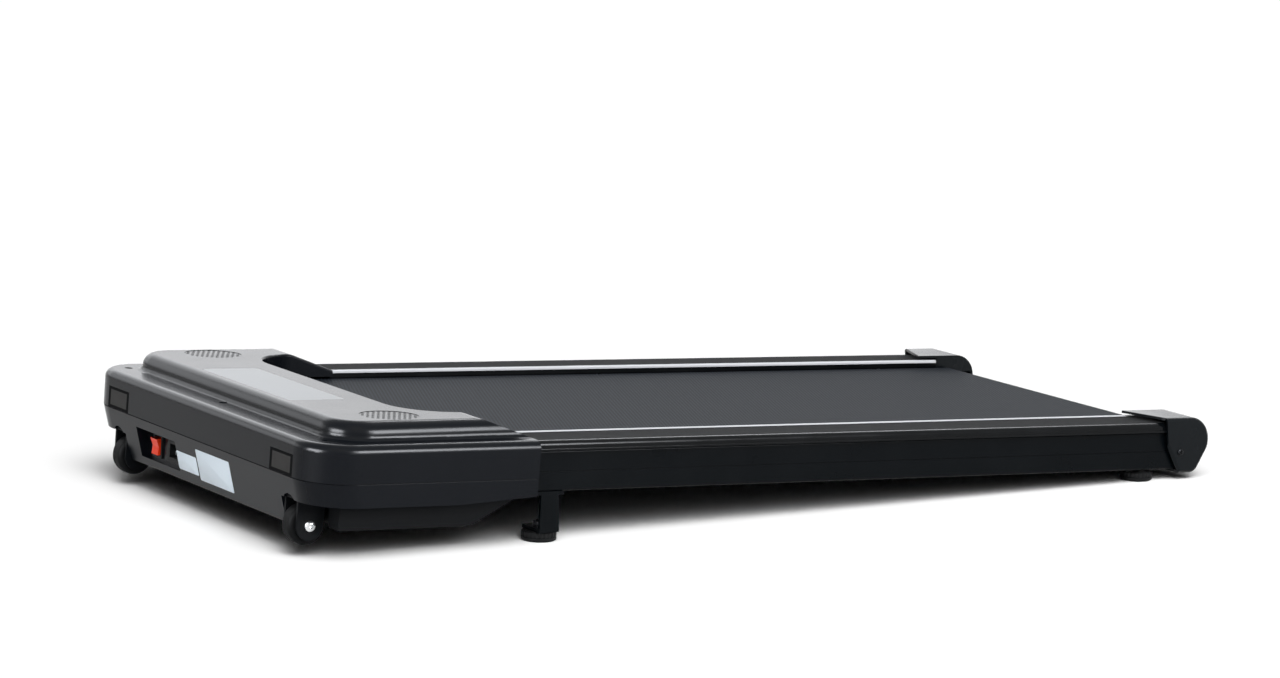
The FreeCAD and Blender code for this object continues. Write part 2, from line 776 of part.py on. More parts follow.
def drive():
    bore = s.axle_diameter / 2 + s.seat_gap
    rim = rod("X", s.pulley_diameter / 2, pulley_in, pulley_out, y=front_roller_y, z=roller_z)
    hole = rod("X", bore, pulley_in - s.overrun, pulley_out + s.overrun, y=front_roller_y, z=roller_z)
    piece("roller_pulley", cut(rim, [hole]))

    shaft_radius = s.motor_shaft_diameter / 2
    bore = shaft_radius + s.running_gap
    section = [(motor_left, bore), (motor_right, bore), (motor_right, motor_radius),
               (motor_left, motor_radius)]
    body = turned("XY_Plane", section, "H_Axis")
    round_edges(body, s.valley_radius, lambda edge: is_circle(edge, motor_radius))
    piece("motor_body", body, y=motor_y, z=motor_z)

    shaft = rod("X", shaft_radius, motor_left - s.overrun, pulley_out, y=motor_y, z=motor_z)
    piece("motor_shaft", group([shaft]))

    disc = rod("X", s.flywheel_diameter / 2, flywheel_in, pulley_in, y=motor_y, z=motor_z)
    groove = rod("X", s.motor_pulley_diameter / 2, pulley_in, pulley_out, y=motor_y, z=motor_z)
    bore = shaft_radius + s.screw_gap
    eye = rod("X", bore, flywheel_in - s.overrun, pulley_out + s.overrun, y=motor_y, z=motor_z)
    piece("motor_flywheel", cut(fuse([disc, groove]), [eye]))


def belt_round(big, small):
    """The outline of a belt round the roller pulley and the motor pulley, at the given radii."""
    big_centre = Vector(0, front_roller_y, roller_z)
    small_centre = Vector(0, motor_y, motor_z)
    run = small_centre - big_centre
    reach = run.Length
    along = run * (1 / reach)
    square = Vector(0, -along.z, along.y)
    rise = (float(big) - float(small)) / reach
    flank = math.sqrt(1 - rise * rise)
    up = along * rise + square * flank
    down = along * rise - square * flank
    big_points = [big_centre + way * float(big) for way in (down, -along, up)]
    small_points = [small_centre + way * float(small) for way in (up, along, down)]
    edges = [Part.LineSegment(big_points[2], small_points[0]), Part.Arc(*small_points),
             Part.LineSegment(small_points[2], big_points[0]), Part.Arc(*big_points)]
    return Part.Wire([edge.toShape() for edge in edges])


def drive_belt():
    big = s.pulley_diameter / 2 + s.seat_gap
    small = s.motor_pulley_diameter / 2 + s.seat_gap
    thick = s.drive_belt_thickness
    outer = Part.Face(belt_round(big + thick, small + thick))
    inner = Part.Face(belt_round(big, small))
    band = outer.cut(inner).extrude(Vector(s.drive_belt_width, 0, 0))
    piece("drive_belt", feature(band), x=pulley_in + (s.pulley_width - s.drive_belt_width) / 2)


bar_rear = front_roller_y - belt_outer_radius - s.cross_bar_gap
bar_front = bar_rear - s.cross_bar_depth


def motor_carrier():
    bar_top = motor_z + s.cross_bar_height / 2
    bar_bottom = motor_z - s.cross_bar_height / 2
    bar = box((-frame_in, frame_in), (bar_front, bar_rear), (bar_bottom, bar_top))
    piece("motor_cross_bar", group([bar]))

    middle = (motor_left + motor_right) / 2
    span = (middle - s.cradle_length / 2, middle + s.cradle_length / 2)
    low = motor_z - motor_radius - s.cradle_wall
    back = box(span, (motor_y, bar_front), (low, bar_top))
    base = box(span, (motor_y - motor_radius, bar_front), (low, motor_z - motor_radius + s.cradle_wall))
    seat = rod("X", motor_radius + s.seat_gap, span[0] - s.overrun, span[1] + s.overrun, y=motor_y, z=motor_z)
    piece("motor_cradle", cut(fuse([back, base]), [seat]))


# Electronics on the belly pan
def electronics():
    ground = belly_bottom + s.cover_wall
    low_y = front + s.board_setback
    high_y = low_y + s.board_width
    under = ground + s.board_post
    over = under + s.board_thickness
    board_left = s.board_inset - apron_half
    right = board_left + s.board_length
    post = s.board_post
    parts = [box((board_left, right), (low_y, high_y), (under, over))]
    for x in (board_left + post, right - post):
        for y in (low_y + post, high_y - post):
            parts.append(rod("Z", post / 2, ground, under, x=x, y=y))
    can_x = board_left + s.capacitor_diameter
    for step in range(CAPACITOR_COUNT):
        x = can_x + step * (s.capacitor_diameter + post)
        parts.append(rod("Z", s.capacitor_diameter / 2, over, over + s.capacitor_height,
                         x=x, y=(low_y + high_y) / 2))
    piece("control_board", fuse(parts))

    sink_left = right + s.sink_gap
    sink_right = sink_left + s.sink_length
    fins = [box((sink_left, sink_right), (low_y, high_y), (ground, ground + s.sink_base))]
    pitch = (s.sink_length - s.sink_fin) / (FIN_COUNT - 1)
    for step in range(FIN_COUNT):
        x = sink_left + step * pitch
        fins.append(box((x, x + s.sink_fin), (low_y, high_y), (ground, ground + s.sink_height)))
    piece("heat_sink", fuse(fins))


# Upper cover: rim and ledge, dome with two arms, a notch over the belt, and screw bosses inside
arm_crest = housing_rear - s.arm_ramp_length
grille_x = dome_half - s.grille_inset
side_screw_x = housing_half - s.side_screw_inset
front_screw_y = front + s.front_screw_setback
rear_screw_y = housing_rear - s.rear_screw_setback
rear_screw_x = frame_mid
screw_seat = rim_top - s.cover_screw_recess_depth
front_screw_places = [(x, front_screw_y) for x in (-side_screw_x, 0, side_screw_x)]
rear_screw_places = [(sign * rear_screw_x, rear_screw_y) for _, sign in SIDES]
grille_y = front + s.grille_setback
display_front = front + s.display_setback


def grille_oval(grow):
    """The outline of a speaker grille as an upright oval column through the dome."""
    long_half = s.grille_length / 2 + grow
    short_half = s.grille_width / 2 + grow
    oval = Part.Ellipse(Vector(0, long_half, 0), Vector(short_half, 0, 0), Vector())
    return Part.Face(Part.Wire([oval.toShape()]))


def notch_plan(grow):
    """The outline of the space over the belt that the cover leaves open."""
    half = notch_half - grow
    return front_corners(half, front + s.notch_front + grow, housing_rear + s.overrun, s.notch_radius - grow)


def notch_tool(grow, low, high):
    """The space over the belt as a block."""
    return rounded_slab(notch_plan(grow), low, high)


def notch_edges(shell):
    """The upper edges of the cover round the notch."""
    ring = plan_wire(notch_plan(0), 0)
    above = [edge for edge in shell.Edges if edge.BoundBox.ZMin > float(cover_ceiling)
             and not near(edge.BoundBox.YMin, housing_rear)]
    found = []
    for edge in above:
        feet = [Part.Vertex(point.x, point.y, 0) for point in edge.discretize(3)]
        if all(near(ring.distToShape(place)[0], 0) for place in feet):
            found.append(edge)
    return found


def ramp_tool():
    """The wedge taken off the rear ends of the dome's arms."""
    near_y = front + s.notch_front
    far_y = housing_rear + s.overrun
    high = s.dome_rise + s.overrun
    corners = [(near_y, s.dome_rise, 0), (arm_crest, s.dome_rise, s.arm_crest_radius),
               (housing_rear, rim_top, 0), (far_y, rim_top, 0), (far_y, high, 0), (near_y, high, 0)]
    return side_slab(corners, -housing_half, housing_half)


def rounded_top(shape, radius, top, rear_edge):
    """A slab with its top edge rounded, except where it ends at the rear."""
    edges = [edge for edge in shape.Edges if near(edge.BoundBox.ZMin, top)
             and not near(edge.BoundBox.YMin, rear_edge)]
    return shape.makeFillet(float(radius), edges)


def upper_cover():
    wall = s.cover_wall
    rim_plan = front_corners(housing_half, front, housing_rear, s.housing_corner_radius)
    rim = rounded_top(rounded_slab(rim_plan, parting, rim_top), s.rim_radius, rim_top, housing_rear)
    dome_front = front + s.dome_front_setback
    dome_plan = front_corners(dome_half, dome_front, housing_rear, s.dome_corner_radius)
    dome = rounded_slab(dome_plan, cover_ceiling, s.dome_rise)
    dome = rounded_top(dome, s.dome_radius, s.dome_rise, housing_rear)
    shell = rim.fuse(dome).removeSplitter()
    foot_plan = plan_wire(dome_plan, rim_top)
    valley = [edge for edge in shell.Edges if near(edge.BoundBox.ZMax, rim_top)
              and near(edge.BoundBox.ZMin, rim_top) and not near(edge.BoundBox.YMin, housing_rear)
              and near(foot_plan.distToShape(edge)[0], 0)]
    shell = shell.makeFillet(float(s.valley_radius), valley)
    shell = shell.cut(ramp_tool())
    shell = shell.cut(notch_tool(0, parting - s.overrun, s.dome_rise + s.overrun)).removeSplitter()
    shell = shell.makeFillet(float(s.notch_edge_radius), notch_edges(shell))

    inside = rounded_slab(front_corners(housing_half - wall, front + wall, housing_rear - wall,
                                        s.housing_corner_radius - wall), parting - s.overrun, cover_ceiling)
    loft_plan = front_corners(dome_half - wall, dome_front + wall, arm_crest, s.dome_corner_radius - wall)
    loft = rounded_slab(loft_plan, parting, dome_ceiling)
    loft = rounded_top(loft, s.dome_radius - wall, dome_ceiling, arm_crest)
    hollow = inside.fuse(loft)
    hollow = hollow.cut(notch_tool(-wall, parting - s.overrun - s.overrun, s.dome_rise + s.overrun))
    shell = shell.cut(hollow)

    lane = deck_half + s.belt_clearance
    lane_front = front + s.notch_front - s.notch_radius
    belt_lane = block_shape((-lane, lane), (lane_front, housing_rear + s.overrun),
                            (parting - s.overrun, s.belt_clearance - s.belt_drop))
    shell = shell.cut(belt_lane)
    boss_radius = s.boss_diameter / 2
    for x, y in front_screw_places:
        shell = shell.fuse(rod_shape("Z", boss_radius, parting, cover_ceiling + s.screw_gap, x=x, y=y))
    for x, y in rear_screw_places:
        shell = shell.fuse(rod_shape("Z", boss_radius, frame_top, cover_ceiling + s.screw_gap, x=x, y=y))
    gap = s.frame_passage_gap
    tools = []
    for _, sign in SIDES:
        tools.append(block_shape(mirrored(sign, frame_in - gap, frame_out + gap),
                                 (housing_rear - wall - s.overrun, housing_rear + s.overrun),
                                 (parting - s.overrun, frame_top)))
        oval = grille_oval(s.screw_gap)
        oval.translate(Vector(sign * grille_x, grille_y, dome_ceiling - s.overrun))
        tools.append(oval.extrude(Vector(0, 0, s.cover_wall + 2 * s.overrun)))
        plug_gap = s.plug_outline_gap
        tools.append(block_shape(mirrored(sign, plug_left - plug_gap, plug_right + plug_gap),
                                 (front - s.overrun, front + wall + s.overrun),
                                 (parting - s.overrun, plug_high + plug_gap)))
    shank_hole = s.cover_screw_diameter / 2 + s.screw_gap
    head_hole = s.cover_screw_recess / 2
    for x, y in front_screw_places:
        tools.append(rod_shape("Z", shank_hole, parting - s.overrun, rim_top, x=x, y=y))
        tools.append(rod_shape("Z", head_hole, screw_seat, s.dome_rise + s.overrun, x=x, y=y))
    for x, y in rear_screw_places:
        tools.append(rod_shape("Z", shank_hole, frame_top - s.overrun, rim_top + s.overrun, x=x, y=y))
        tools.append(rod_shape("Z", head_hole, rim_top, s.dome_rise + s.overrun, x=x, y=y))
    grow = s.screw_gap
    corners = [(-1, 0), (1, 0), (1, 1), (-1, 1)]
    half = s.display_width / 2 + grow
    bed = [(side * half, display_front - grow + step * (s.display_depth + 2 * grow), s.display_corner_radius)
           for side, step in corners]
    tools.append(rounded_slab(bed, s.dome_rise - s.display_thickness, s.dome_rise + s.overrun))
    for tool in tools:
        shell = shell.cut(tool)
    piece("upper_cover", feature(shell.removeSplitter()))


# Lower casing: skirt, sloped apron with the power recess, and a floor behind the skirt
apron_bottom_y = front + s.apron_slope_setback
drop_span = s.belly_drop - s.parting_drop
recess_left = s.recess_inset - apron_half
recess_right = recess_left + s.recess_width
recess_top = -s.recess_top_drop
recess_bottom = recess_top - s.recess_height
recess_back = front + s.recess_depth


def casing_loft(grow, low_extra, high_extra):
    """The casing's outside, or its inside grown inwards: the front leans back towards the bottom."""
    half = housing_half - grow
    radius = s.housing_corner_radius - grow
    rear_edge = housing_rear - grow
    lean_per_drop = float(s.apron_slope_setback) / float(drop_span)
    top = parting + high_extra
    low = belly_bottom - low_extra
    top_y = front + grow - high_extra * lean_per_drop
    low_y = apron_bottom_y + grow + low_extra * lean_per_drop
    wires = [plan_wire(front_corners(half, top_y, rear_edge, radius), top),
             plan_wire(front_corners(half, low_y, rear_edge, radius), low)]
    return Part.makeLoft(wires, True, True)


def lower_casing():
    wall = s.cover_wall
    far = housing_half + s.overrun
    shell = casing_loft(0, 0, 0)
    hollow = casing_loft(wall, s.overrun, s.overrun)
    floor = block_shape((-far, far), (front - s.overrun, housing_rear), (floor_bottom, floor_top))
    belly_mouth = block_shape((-frame_in, frame_in),
                              (front + s.belly_front_setback + wall, housing_rear + s.overrun),
                              (floor_bottom - s.overrun, floor_top + s.overrun))
    apron_mouth = block_shape((-apron_half + wall, apron_half - wall),
                              (front - s.overrun, front + s.belly_front_setback + wall + s.overrun),
                              (floor_bottom - s.overrun, floor_top + s.overrun))
    ledge = floor.cut(belly_mouth).cut(apron_mouth)
    shell = shell.cut(hollow.cut(ledge))
    skirt_bottom = -s.skirt_drop
    rise_start = housing_rear - s.skirt_rise_length
    below = belly_bottom - s.overrun
    for _, sign in SIDES:
        rear_bottom = skirt_bottom + s.skirt_rear_rise
        corners = [(front - s.overrun, skirt_bottom, 0), (rise_start, skirt_bottom, 0),
                   (housing_rear, rear_bottom, 0), (housing_rear + s.overrun, rear_bottom, 0),
                   (housing_rear + s.overrun, below, 0), (front - s.overrun, below, 0)]
        shell = shell.cut(side_slab(corners, *mirrored(sign, apron_half, far)))
    behind = block_shape((-far, far), (front + s.belly_front_setback, housing_rear + s.overrun),
                         (below, skirt_bottom))
    shell = shell.cut(behind)
    lane = block_shape((-frame_in, frame_in),
                       (housing_rear - wall - s.overrun, housing_rear + s.overrun),
                       (below, parting + s.overrun))
    shell = shell.cut(lane)
    pocket_walls = block_shape((recess_left - wall, recess_right + wall),
                               (front + wall, recess_back + wall), (recess_bottom - wall, recess_top + wall))
    outside = casing_loft(0, 0, 0)
    shell = shell.fuse(pocket_walls.common(outside))
    gap = s.frame_passage_gap
    tools = [block_shape((recess_left, recess_right), (front - s.overrun, recess_back),
                         (recess_bottom, recess_top))]
    tools.append(block_shape((switch_body_x[0] - gap, switch_body_x[1] + gap),
                             (recess_back - s.overrun, recess_back + wall + s.overrun),
                             (switch_body_z[0] - gap, switch_body_z[1] + gap)))
    tools.append(block_shape((inlet_body_x[0] - gap, inlet_body_x[1] + gap),
                             (recess_back - s.overrun, recess_back + wall + s.overrun),
                             (inlet_body_z[0] - gap, inlet_body_z[1] + gap)))
    for _, sign in SIDES:
        tools.append(block_shape(mirrored(sign, frame_in - gap, frame_out + gap),
                                 (housing_rear - wall - s.overrun, housing_rear + s.overrun),
                                 (frame_bottom - gap, parting + s.overrun)))
        tools.append(rod_shape("Y", s.arch_radius, front - s.overrun, wheel_y,
                               x=sign * wheel_x, z=-s.arch_drop))
    groove_z = (parting - s.parting_groove_width, parting + s.overrun)
    groove = block_shape((-far, far), (front - s.overrun, housing_rear + s.overrun), groove_z)
    tools.append(groove.cut(casing_loft(s.parting_groove_depth, 0, s.overrun)))
    for tool in tools:
        shell = shell.cut(tool)
    piece("lower_casing", feature(shell.removeSplitter()))


# Belly pan: a tray under the motor, narrow between the wheels, with wings outside them, swept up at the rear
def belly_plan(grow, low, high):
    narrow = apron_half - grow
    wide = belly_half - grow
    step_y = front + s.belly_front_setback + grow
    wing_x = fork_out + s.fork_side_gap + grow
    wing_y = front + s.belly_wing_setback + grow
    near_y = front - s.overrun
    far_y = housing_rear
    right = [(narrow, near_y, 0), (narrow, step_y, 0), (wing_x, step_y, 0), (wing_x, wing_y, 0),
             (wide, wing_y, 0), (wide, far_y, 0)]
    left = [(-x, y, radius) for x, y, radius in reversed(right)]
    return rounded_slab(right + left, low, high)


def belly_side(grow, top):
    """The tray's long section: level bottom, sloped front, and a round sweep up at the rear."""
    lean_per_drop = float(s.apron_slope_setback) / float(drop_span)
    bottom = belly_bottom + grow
    end = housing_rear - s.belly_rear_inset - grow
    turn = (end - s.belly_rear_overhang, bottom, s.belly_rear_radius - grow)
    front_low = apron_bottom_y + s.cover_wall + s.seat_gap
    front_high = front_low - lean_per_drop * (top - belly_bottom)
    if float(grow) > 0:
        front_low = front - s.overrun
        front_high = front - s.overrun
    corners = [(front_low, bottom, 0), turn, (end, top, 0), (front_high, top, 0)]
    return side_slab(corners, -housing_half, housing_half)


def belly_pan():
    wall = s.cover_wall
    top = floor_bottom
    outer = belly_plan(0, belly_bottom, top).common(belly_side(0, top))
    inner = belly_plan(wall, belly_bottom + wall, top + s.overrun).common(belly_side(wall, top + s.overrun))
    piece("belly_pan", feature(outer.cut(inner)))


# Display window, let into the dome, with small rounded corners
def display_panel():
    half = s.display_width / 2
    rear_edge = display_front + s.display_depth
    points = [(-half, display_front), (half, display_front), (half, rear_edge), (-half, rear_edge)]
    body = prism("XY_Plane", points, s.dome_rise - s.display_thickness, s.dome_rise)
    middle_z = s.dome_rise - s.display_thickness / 2
    round_edges(body, s.display_corner_radius, lambda edge: near(edge.CenterOfMass.z, middle_z))
    piece("display_panel", body)


# Speaker grilles: oval inserts with rows of holes, and the loudspeakers under them
def grille_holes():
    rows = int(float(s.grille_length) / float(s.grille_pitch))
    margin = 1 - float(s.grille_hole) / float(s.grille_width)
    row_pitch = float(s.grille_pitch) * math.sqrt(3) / 2
    places = []
    for row in range(-rows, rows + 1):
        for column in range(-rows, rows + 1):
            x = row * row_pitch
            y = (column + (row % 2) / 2) * float(s.grille_pitch)
            across = 2 * x / float(s.grille_width)
            along = 2 * y / float(s.grille_length)
            if across * across + along * along < margin * margin:
                places.append((x, y))
    return places


def speaker(name, sign):
    x = sign * grille_x
    flange_low = dome_ceiling - s.grille_flange_thickness
    face = s.dome_rise - s.grille_sink
    plug = grille_oval(0).extrude(Vector(0, 0, face - dome_ceiling))
    plug.translate(Vector(0, 0, dome_ceiling))
    flange = grille_oval(s.grille_flange).extrude(Vector(0, 0, s.grille_flange_thickness))
    flange.translate(Vector(0, 0, flange_low))
    holes = [Part.makeCylinder(float(s.grille_hole) / 2, float(face - flange_low + 2 * s.overrun),
                               Vector(hole_x, hole_y, flange_low - s.overrun))
             for hole_x, hole_y in grille_holes()]
    grille = plug.fuse(flange).removeSplitter().cut(holes)
    piece(f"{name}_speaker_grille", feature(grille), x=x, y=grille_y)

    rim_low = flange_low - s.speaker_rim
    low = flange_low - s.speaker_height
    section = [(0, low), (s.speaker_magnet / 2, low), (s.speaker_magnet / 2, (low + rim_low) / 2),
               (s.speaker_diameter / 2, rim_low), (s.speaker_diameter / 2, flange_low), (0, flange_low)]
    piece(f"{name}_speaker", turned("XZ_Plane", section, "V_Axis"), x=x, y=grille_y)


# Power switch: a bezel and box with a rocker on a pin between its side walls
recess_middle = (recess_top + recess_bottom) / 2
switch_x = recess_left + s.switch_offset
inlet_x = recess_left + s.inlet_offset
bezel_width = s.switch_bezel_width
switch_body_half = s.switch_width / 2 - bezel_width
switch_body_tall = s.switch_height / 2 - bezel_width
switch_body_x = (switch_x - switch_body_half, switch_x + switch_body_half)
switch_body_z = (recess_middle - switch_body_tall, recess_middle + switch_body_tall)
bezel_face = recess_back - s.switch_bezel
inlet_body_half = s.inlet_width / 2 - bezel_width
inlet_body_tall = s.inlet_height / 2 - bezel_width
inlet_body_x = (inlet_x - inlet_body_half, inlet_x + inlet_body_half)
inlet_body_z = (recess_middle - inlet_body_tall, recess_middle + inlet_body_tall)
rocker_axis_y = bezel_face + s.rocker_depth - s.rocker_proud


def power_switch():
    half = s.switch_width / 2
    tall = s.switch_height / 2
    bezel = box((switch_x - half, switch_x + half), (bezel_face, recess_back),
                (recess_middle - tall, recess_middle + tall))
    body = box(switch_body_x, (recess_back, recess_back + s.switch_body_depth), switch_body_z)
    well_half = s.rocker_width / 2 + s.rocker_side_gap
    well_tall = s.rocker_height / 2 + s.rocker_end_gap
    well_back = rocker_axis_y + s.rocker_height / 2 + s.rocker_end_gap
    well = box((switch_x - well_half, switch_x + well_half), (bezel_face - s.overrun, well_back),
               (recess_middle - well_tall, recess_middle + well_tall))
    pin_reach = well_half + s.rocker_side_gap
    pin_radius = s.rocker_pin_diameter / 2 + s.running_gap
    pin_hole = rod("X", pin_radius, switch_x - pin_reach, switch_x + pin_reach,
                   y=rocker_axis_y, z=recess_middle)
    piece("power_switch_body", cut(fuse([bezel, body]), [well, pin_hole]))


def power_rocker():
    """The rocker is drawn about its pin and turned to its off position."""
    half = s.rocker_width / 2
    tall = s.rocker_height / 2
    face = -s.rocker_depth
    dip = face + s.rocker_dip
    back = s.rocker_pin_diameter
    slim = tall * ROCKER_BACK_SHARE
    points = [(back, -slim), (0, -tall), (face, -tall), (dip, 0), (face, tall), (0, tall), (back, slim)]
    body = prism("YZ_Plane", points, -half, half)
    pin_reach = half + s.rocker_side_gap + s.rocker_side_gap / 2
    pin = rod("X", s.rocker_pin_diameter / 2, -pin_reach, pin_reach)
    turn = FreeCAD.Rotation(Vector(1, 0, 0), float(s.rocker_rest_angle))
    piece("power_rocker", fuse([body, pin]), x=switch_x, y=rocker_axis_y, z=recess_middle, turn=turn)


# Power inlet: a socket with three flat pins
def power_inlet():
    half = s.inlet_width / 2
    tall = s.inlet_height / 2
    wall = s.inlet_wall
    bezel = box((inlet_x - half, inlet_x + half), (bezel_face, recess_back),
                (recess_middle - tall, recess_middle + tall))
    deep = recess_back + s.inlet_depth
    body = box(inlet_body_x, (recess_back, deep), inlet_body_z)
    socket = box((inlet_body_x[0] + wall, inlet_body_x[1] - wall), (bezel_face - s.overrun, deep - wall),
                 (inlet_body_z[0] + wall, inlet_body_z[1] - wall))
    piece("power_inlet", cut(fuse([bezel, body]), [socket]))

    pin_z = inlet_body_z[0] + wall + s.inlet_pin_height
    pins = []
    for step in (-1, 0, 1):
        x = inlet_x + step * s.inlet_pin_spacing / 2
        pins.append(box((x - s.inlet_pin_width / 2, x + s.inlet_pin_width / 2),
                        (deep - wall - s.inlet_pin_length, deep - wall),
                        (pin_z - s.inlet_pin_height / 2, pin_z + s.inlet_pin_height / 2)))
    piece("inlet_pins", group(pins))


# Front plugs: rectangular caps in the rim's front wall, held by a flange behind it
plug_x = housing_half - s.plug_inset
plug_left = plug_x - s.plug_width / 2
plug_right = plug_x + s.plug_width / 2
plug_low = parting + s.plug_rise
plug_high = plug_low + s.plug_height


def front_plug(name, sign):
    inner_face = front + s.cover_wall
    cap = box(mirrored(sign, plug_left, plug_right), (front, inner_face), (plug_low, plug_high))
    flange = box(mirrored(sign, plug_left - s.plug_flange, plug_right + s.plug_flange),
                 (inner_face, inner_face + s.plug_flange_thickness),
                 (plug_low + s.seat_gap, plug_high + s.plug_flange))
    piece(f"{name}_front_plug", fuse([cap, flange]))


def cover_screw(x, y, seat, head_height, length):
    head = rod("Z", s.cover_screw_head / 2, seat, seat + head_height, x=x, y=y)
    shank = rod("Z", s.cover_screw_diameter / 2, seat - length, seat, x=x, y=y)
    return fuse([head, shank])


def cover_screws():
    screws = [cover_screw(x, y, screw_seat, s.cover_screw_head_height, s.cover_screw_length)
              for x, y in front_screw_places]
    screws += [cover_screw(x, y, rim_top, s.cover_screw_rear_head_height, s.cover_screw_rear_length)
               for x, y in rear_screw_places]
    piece("cover_screws", group(screws))


# Transport wheels: forks under the floor, rubber tyres on hubs, bolts with domed heads
def transport_wheel(name, sign):
    half = s.fork_length / 2
    low = wheel_z - s.fork_tip_radius
    fork_points = [(wheel_y - s.fork_tip_radius, floor_bottom), (wheel_y - s.fork_tip_radius, low),
                   (wheel_y + s.fork_tip_radius, low), (wheel_y + half, floor_bottom)]
    span = mirrored(sign, fork_in, fork_out)
    block = prism("YZ_Plane", fork_points, span[0], span[1])
    round_edges(block, s.fork_tip_radius * TIP_SHARE, lambda edge: near(edge.BoundBox.ZMin, low)
                and near(edge.BoundBox.ZMax, low) and near(edge.CenterOfMass.x, (span[0] + span[1]) / 2))
    gap_span = mirrored(sign, fork_in + s.fork_wall, fork_out - s.fork_wall)
    gap = box(gap_span, (wheel_y - s.wheel_diameter, wheel_y + s.wheel_diameter),
              (low - s.overrun, floor_bottom - s.fork_wall))
    bolt_hole = rod("X", s.wheel_bolt_diameter / 2 + s.running_gap, span[0] - s.overrun, span[1] + s.overrun,
                    y=wheel_y, z=wheel_z)
    piece(f"{name}_wheel_fork", cut(block, [gap, bolt_hole]))

    wheel_half = s.wheel_width / 2
    hub_radius = s.wheel_hub_diameter / 2
    bore = s.wheel_bolt_diameter / 2 + s.running_gap
    centre = sign * wheel_x
    section = [(-wheel_half, bore), (wheel_half, bore), (wheel_half, hub_radius), (-wheel_half, hub_radius)]
    piece(f"{name}_wheel_hub", turned("XY_Plane", section, "H_Axis"), x=centre, y=wheel_y, z=wheel_z)
    tread = s.wheel_diameter / 2
    inner = hub_radius + s.screw_gap
    section = [(-wheel_half, inner), (wheel_half, inner), (wheel_half, tread), (-wheel_half, tread)]
    tyre = turned("XY_Plane", section, "H_Axis")
    round_edges(tyre, s.tyre_edge_radius, lambda edge: is_circle(edge, tread))
    piece(f"{name}_wheel_tyre", tyre, x=centre, y=wheel_y, z=wheel_z)


def wheel_bolts():
    bolts = []
    for _, sign in SIDES:
        low, high = mirrored(sign, fork_in, fork_out)
        shank = rod("X", s.wheel_bolt_diameter / 2, low, high, y=wheel_y, z=wheel_z)
        low, high = mirrored(sign, fork_out, fork_out + s.wheel_bolt_head_height)
        head = rod("X", s.wheel_bolt_head / 2, low, high, y=wheel_y, z=wheel_z)
        bolts.append(fuse([shank, head]))
    piece("wheel_bolts", group(bolts))


# Rear end caps: thin shells over the rails' ends and round the rear roller
cap_screw_y = rear - s.cap_screw_setback
cap_out = rail_out + s.cap_side_reach
cap_inner = rail_in - s.cap_overlap


def cap_side(grow):
    """The top, rear and bottom of the cap's side outline, or of its inside, as (y, z, radius) corners."""
    top = s.cap_top_rise - grow
    bottom = grow - s.cap_bottom_drop
    heel = rear - s.cap_heel_setback - grow
    back = rear - grow
    return [(back, top, s.cap_top_radius - grow), (back, -s.cap_rear_drop, s.cap_rear_radius - grow),
            (heel, bottom, s.cap_heel_radius - grow)]


def rear_cap(name, sign):
    wall = s.cap_wall
    bottom = -s.cap_bottom_drop
    plate_front = rear - s.cap_front_setback
    tip_front = rear - s.cap_inner_front_setback
    front_edge = [(rear - s.cap_toe_setback, bottom, 0), (rear - s.cap_kink_setback, -s.cap_kink_drop, 0),
                  (plate_front, s.cap_top_rise, 0)]
    outside = cap_side(0) + front_edge
    inside = cap_side(wall) + [(tip_front, bottom + wall, 0), (tip_front, s.cap_top_rise - wall, 0)]
    inner = sign * cap_inner
    outer = sign * cap_out
    shell = side_slab(outside, *mirrored(sign, cap_inner, cap_out))
    rim = [edge for edge in shell.Edges if near(edge.BoundBox.XMin, outer) and near(edge.BoundBox.XMax, outer)
           and edge.CenterOfMass.y > float(plate_front + wall) and edge.CenterOfMass.z > float(bottom + wall)]
    shell = shell.makeFillet(float(s.cap_edge_radius), rim)
    shell = shell.cut(side_slab(inside, *mirrored(sign, cap_inner - s.overrun, cap_out - wall)))
    outer = sign * (cap_out - s.cap_edge_radius)
    lip = [(inner, plate_front + wall, 0), (inner, tip_front, 0), (outer, plate_front, 0),
           (outer, plate_front + wall, 0)]
    shell = shell.fuse(rounded_slab(lip, s.cap_top_rise - wall, s.cap_top_rise))
    cheek = side_slab(outside, *mirrored(sign, cap_inner, cap_inner + wall))
    shell = shell.fuse(cheek.common(block_shape(mirrored(sign, cap_inner, cap_inner + wall),
                                                (rear - s.cap_cheek_setback, rear),
                                                (-s.cap_cheek_drop, s.cap_top_rise))))
    place = {"y": cap_screw_y, "z": -s.cap_screw_drop}
    boss = mirrored(sign, frame_out, cap_out - wall)
    shell = shell.fuse(rod_shape("X", s.cap_boss_diameter / 2, *boss, **place))
    hole = mirrored(sign, frame_out - s.overrun, cap_out + s.overrun)
    shell = shell.cut(rod_shape("X", s.cap_screw_diameter / 2 + s.screw_gap, *hole, **place))
    piece(f"{name}_rear_cap", feature(shell.removeSplitter()))


def rear_cap_screws():
    screws = []
    for _, sign in SIDES:
        low, high = mirrored(sign, cap_out, cap_out + s.cap_screw_head_height)
        head = rod("X", s.cap_screw_head / 2, low, high, y=cap_screw_y, z=-s.cap_screw_drop)
        low, high = mirrored(sign, cap_out - s.cap_screw_length, cap_out)
        shank = rod("X", s.cap_screw_diameter / 2, low, high, y=cap_screw_y, z=-s.cap_screw_drop)
        screws.append(fuse([head, shank]))
    piece("rear_cap_screws", group(screws))


# Legs and feet: bent plates under the front of the frames, and levelling feet that stand on the floor
front_foot_y = housing_rear + s.front_foot_gap
leg_screw_ys = [front_foot_y - s.leg_flange_length / 2 + s.leg_screw_inset,
                front_foot_y + s.leg_flange_length / 2 - s.leg_screw_inset]
lip_low = s.foot_height + s.seat_gap
lip_high = lip_low + s.leg_wall


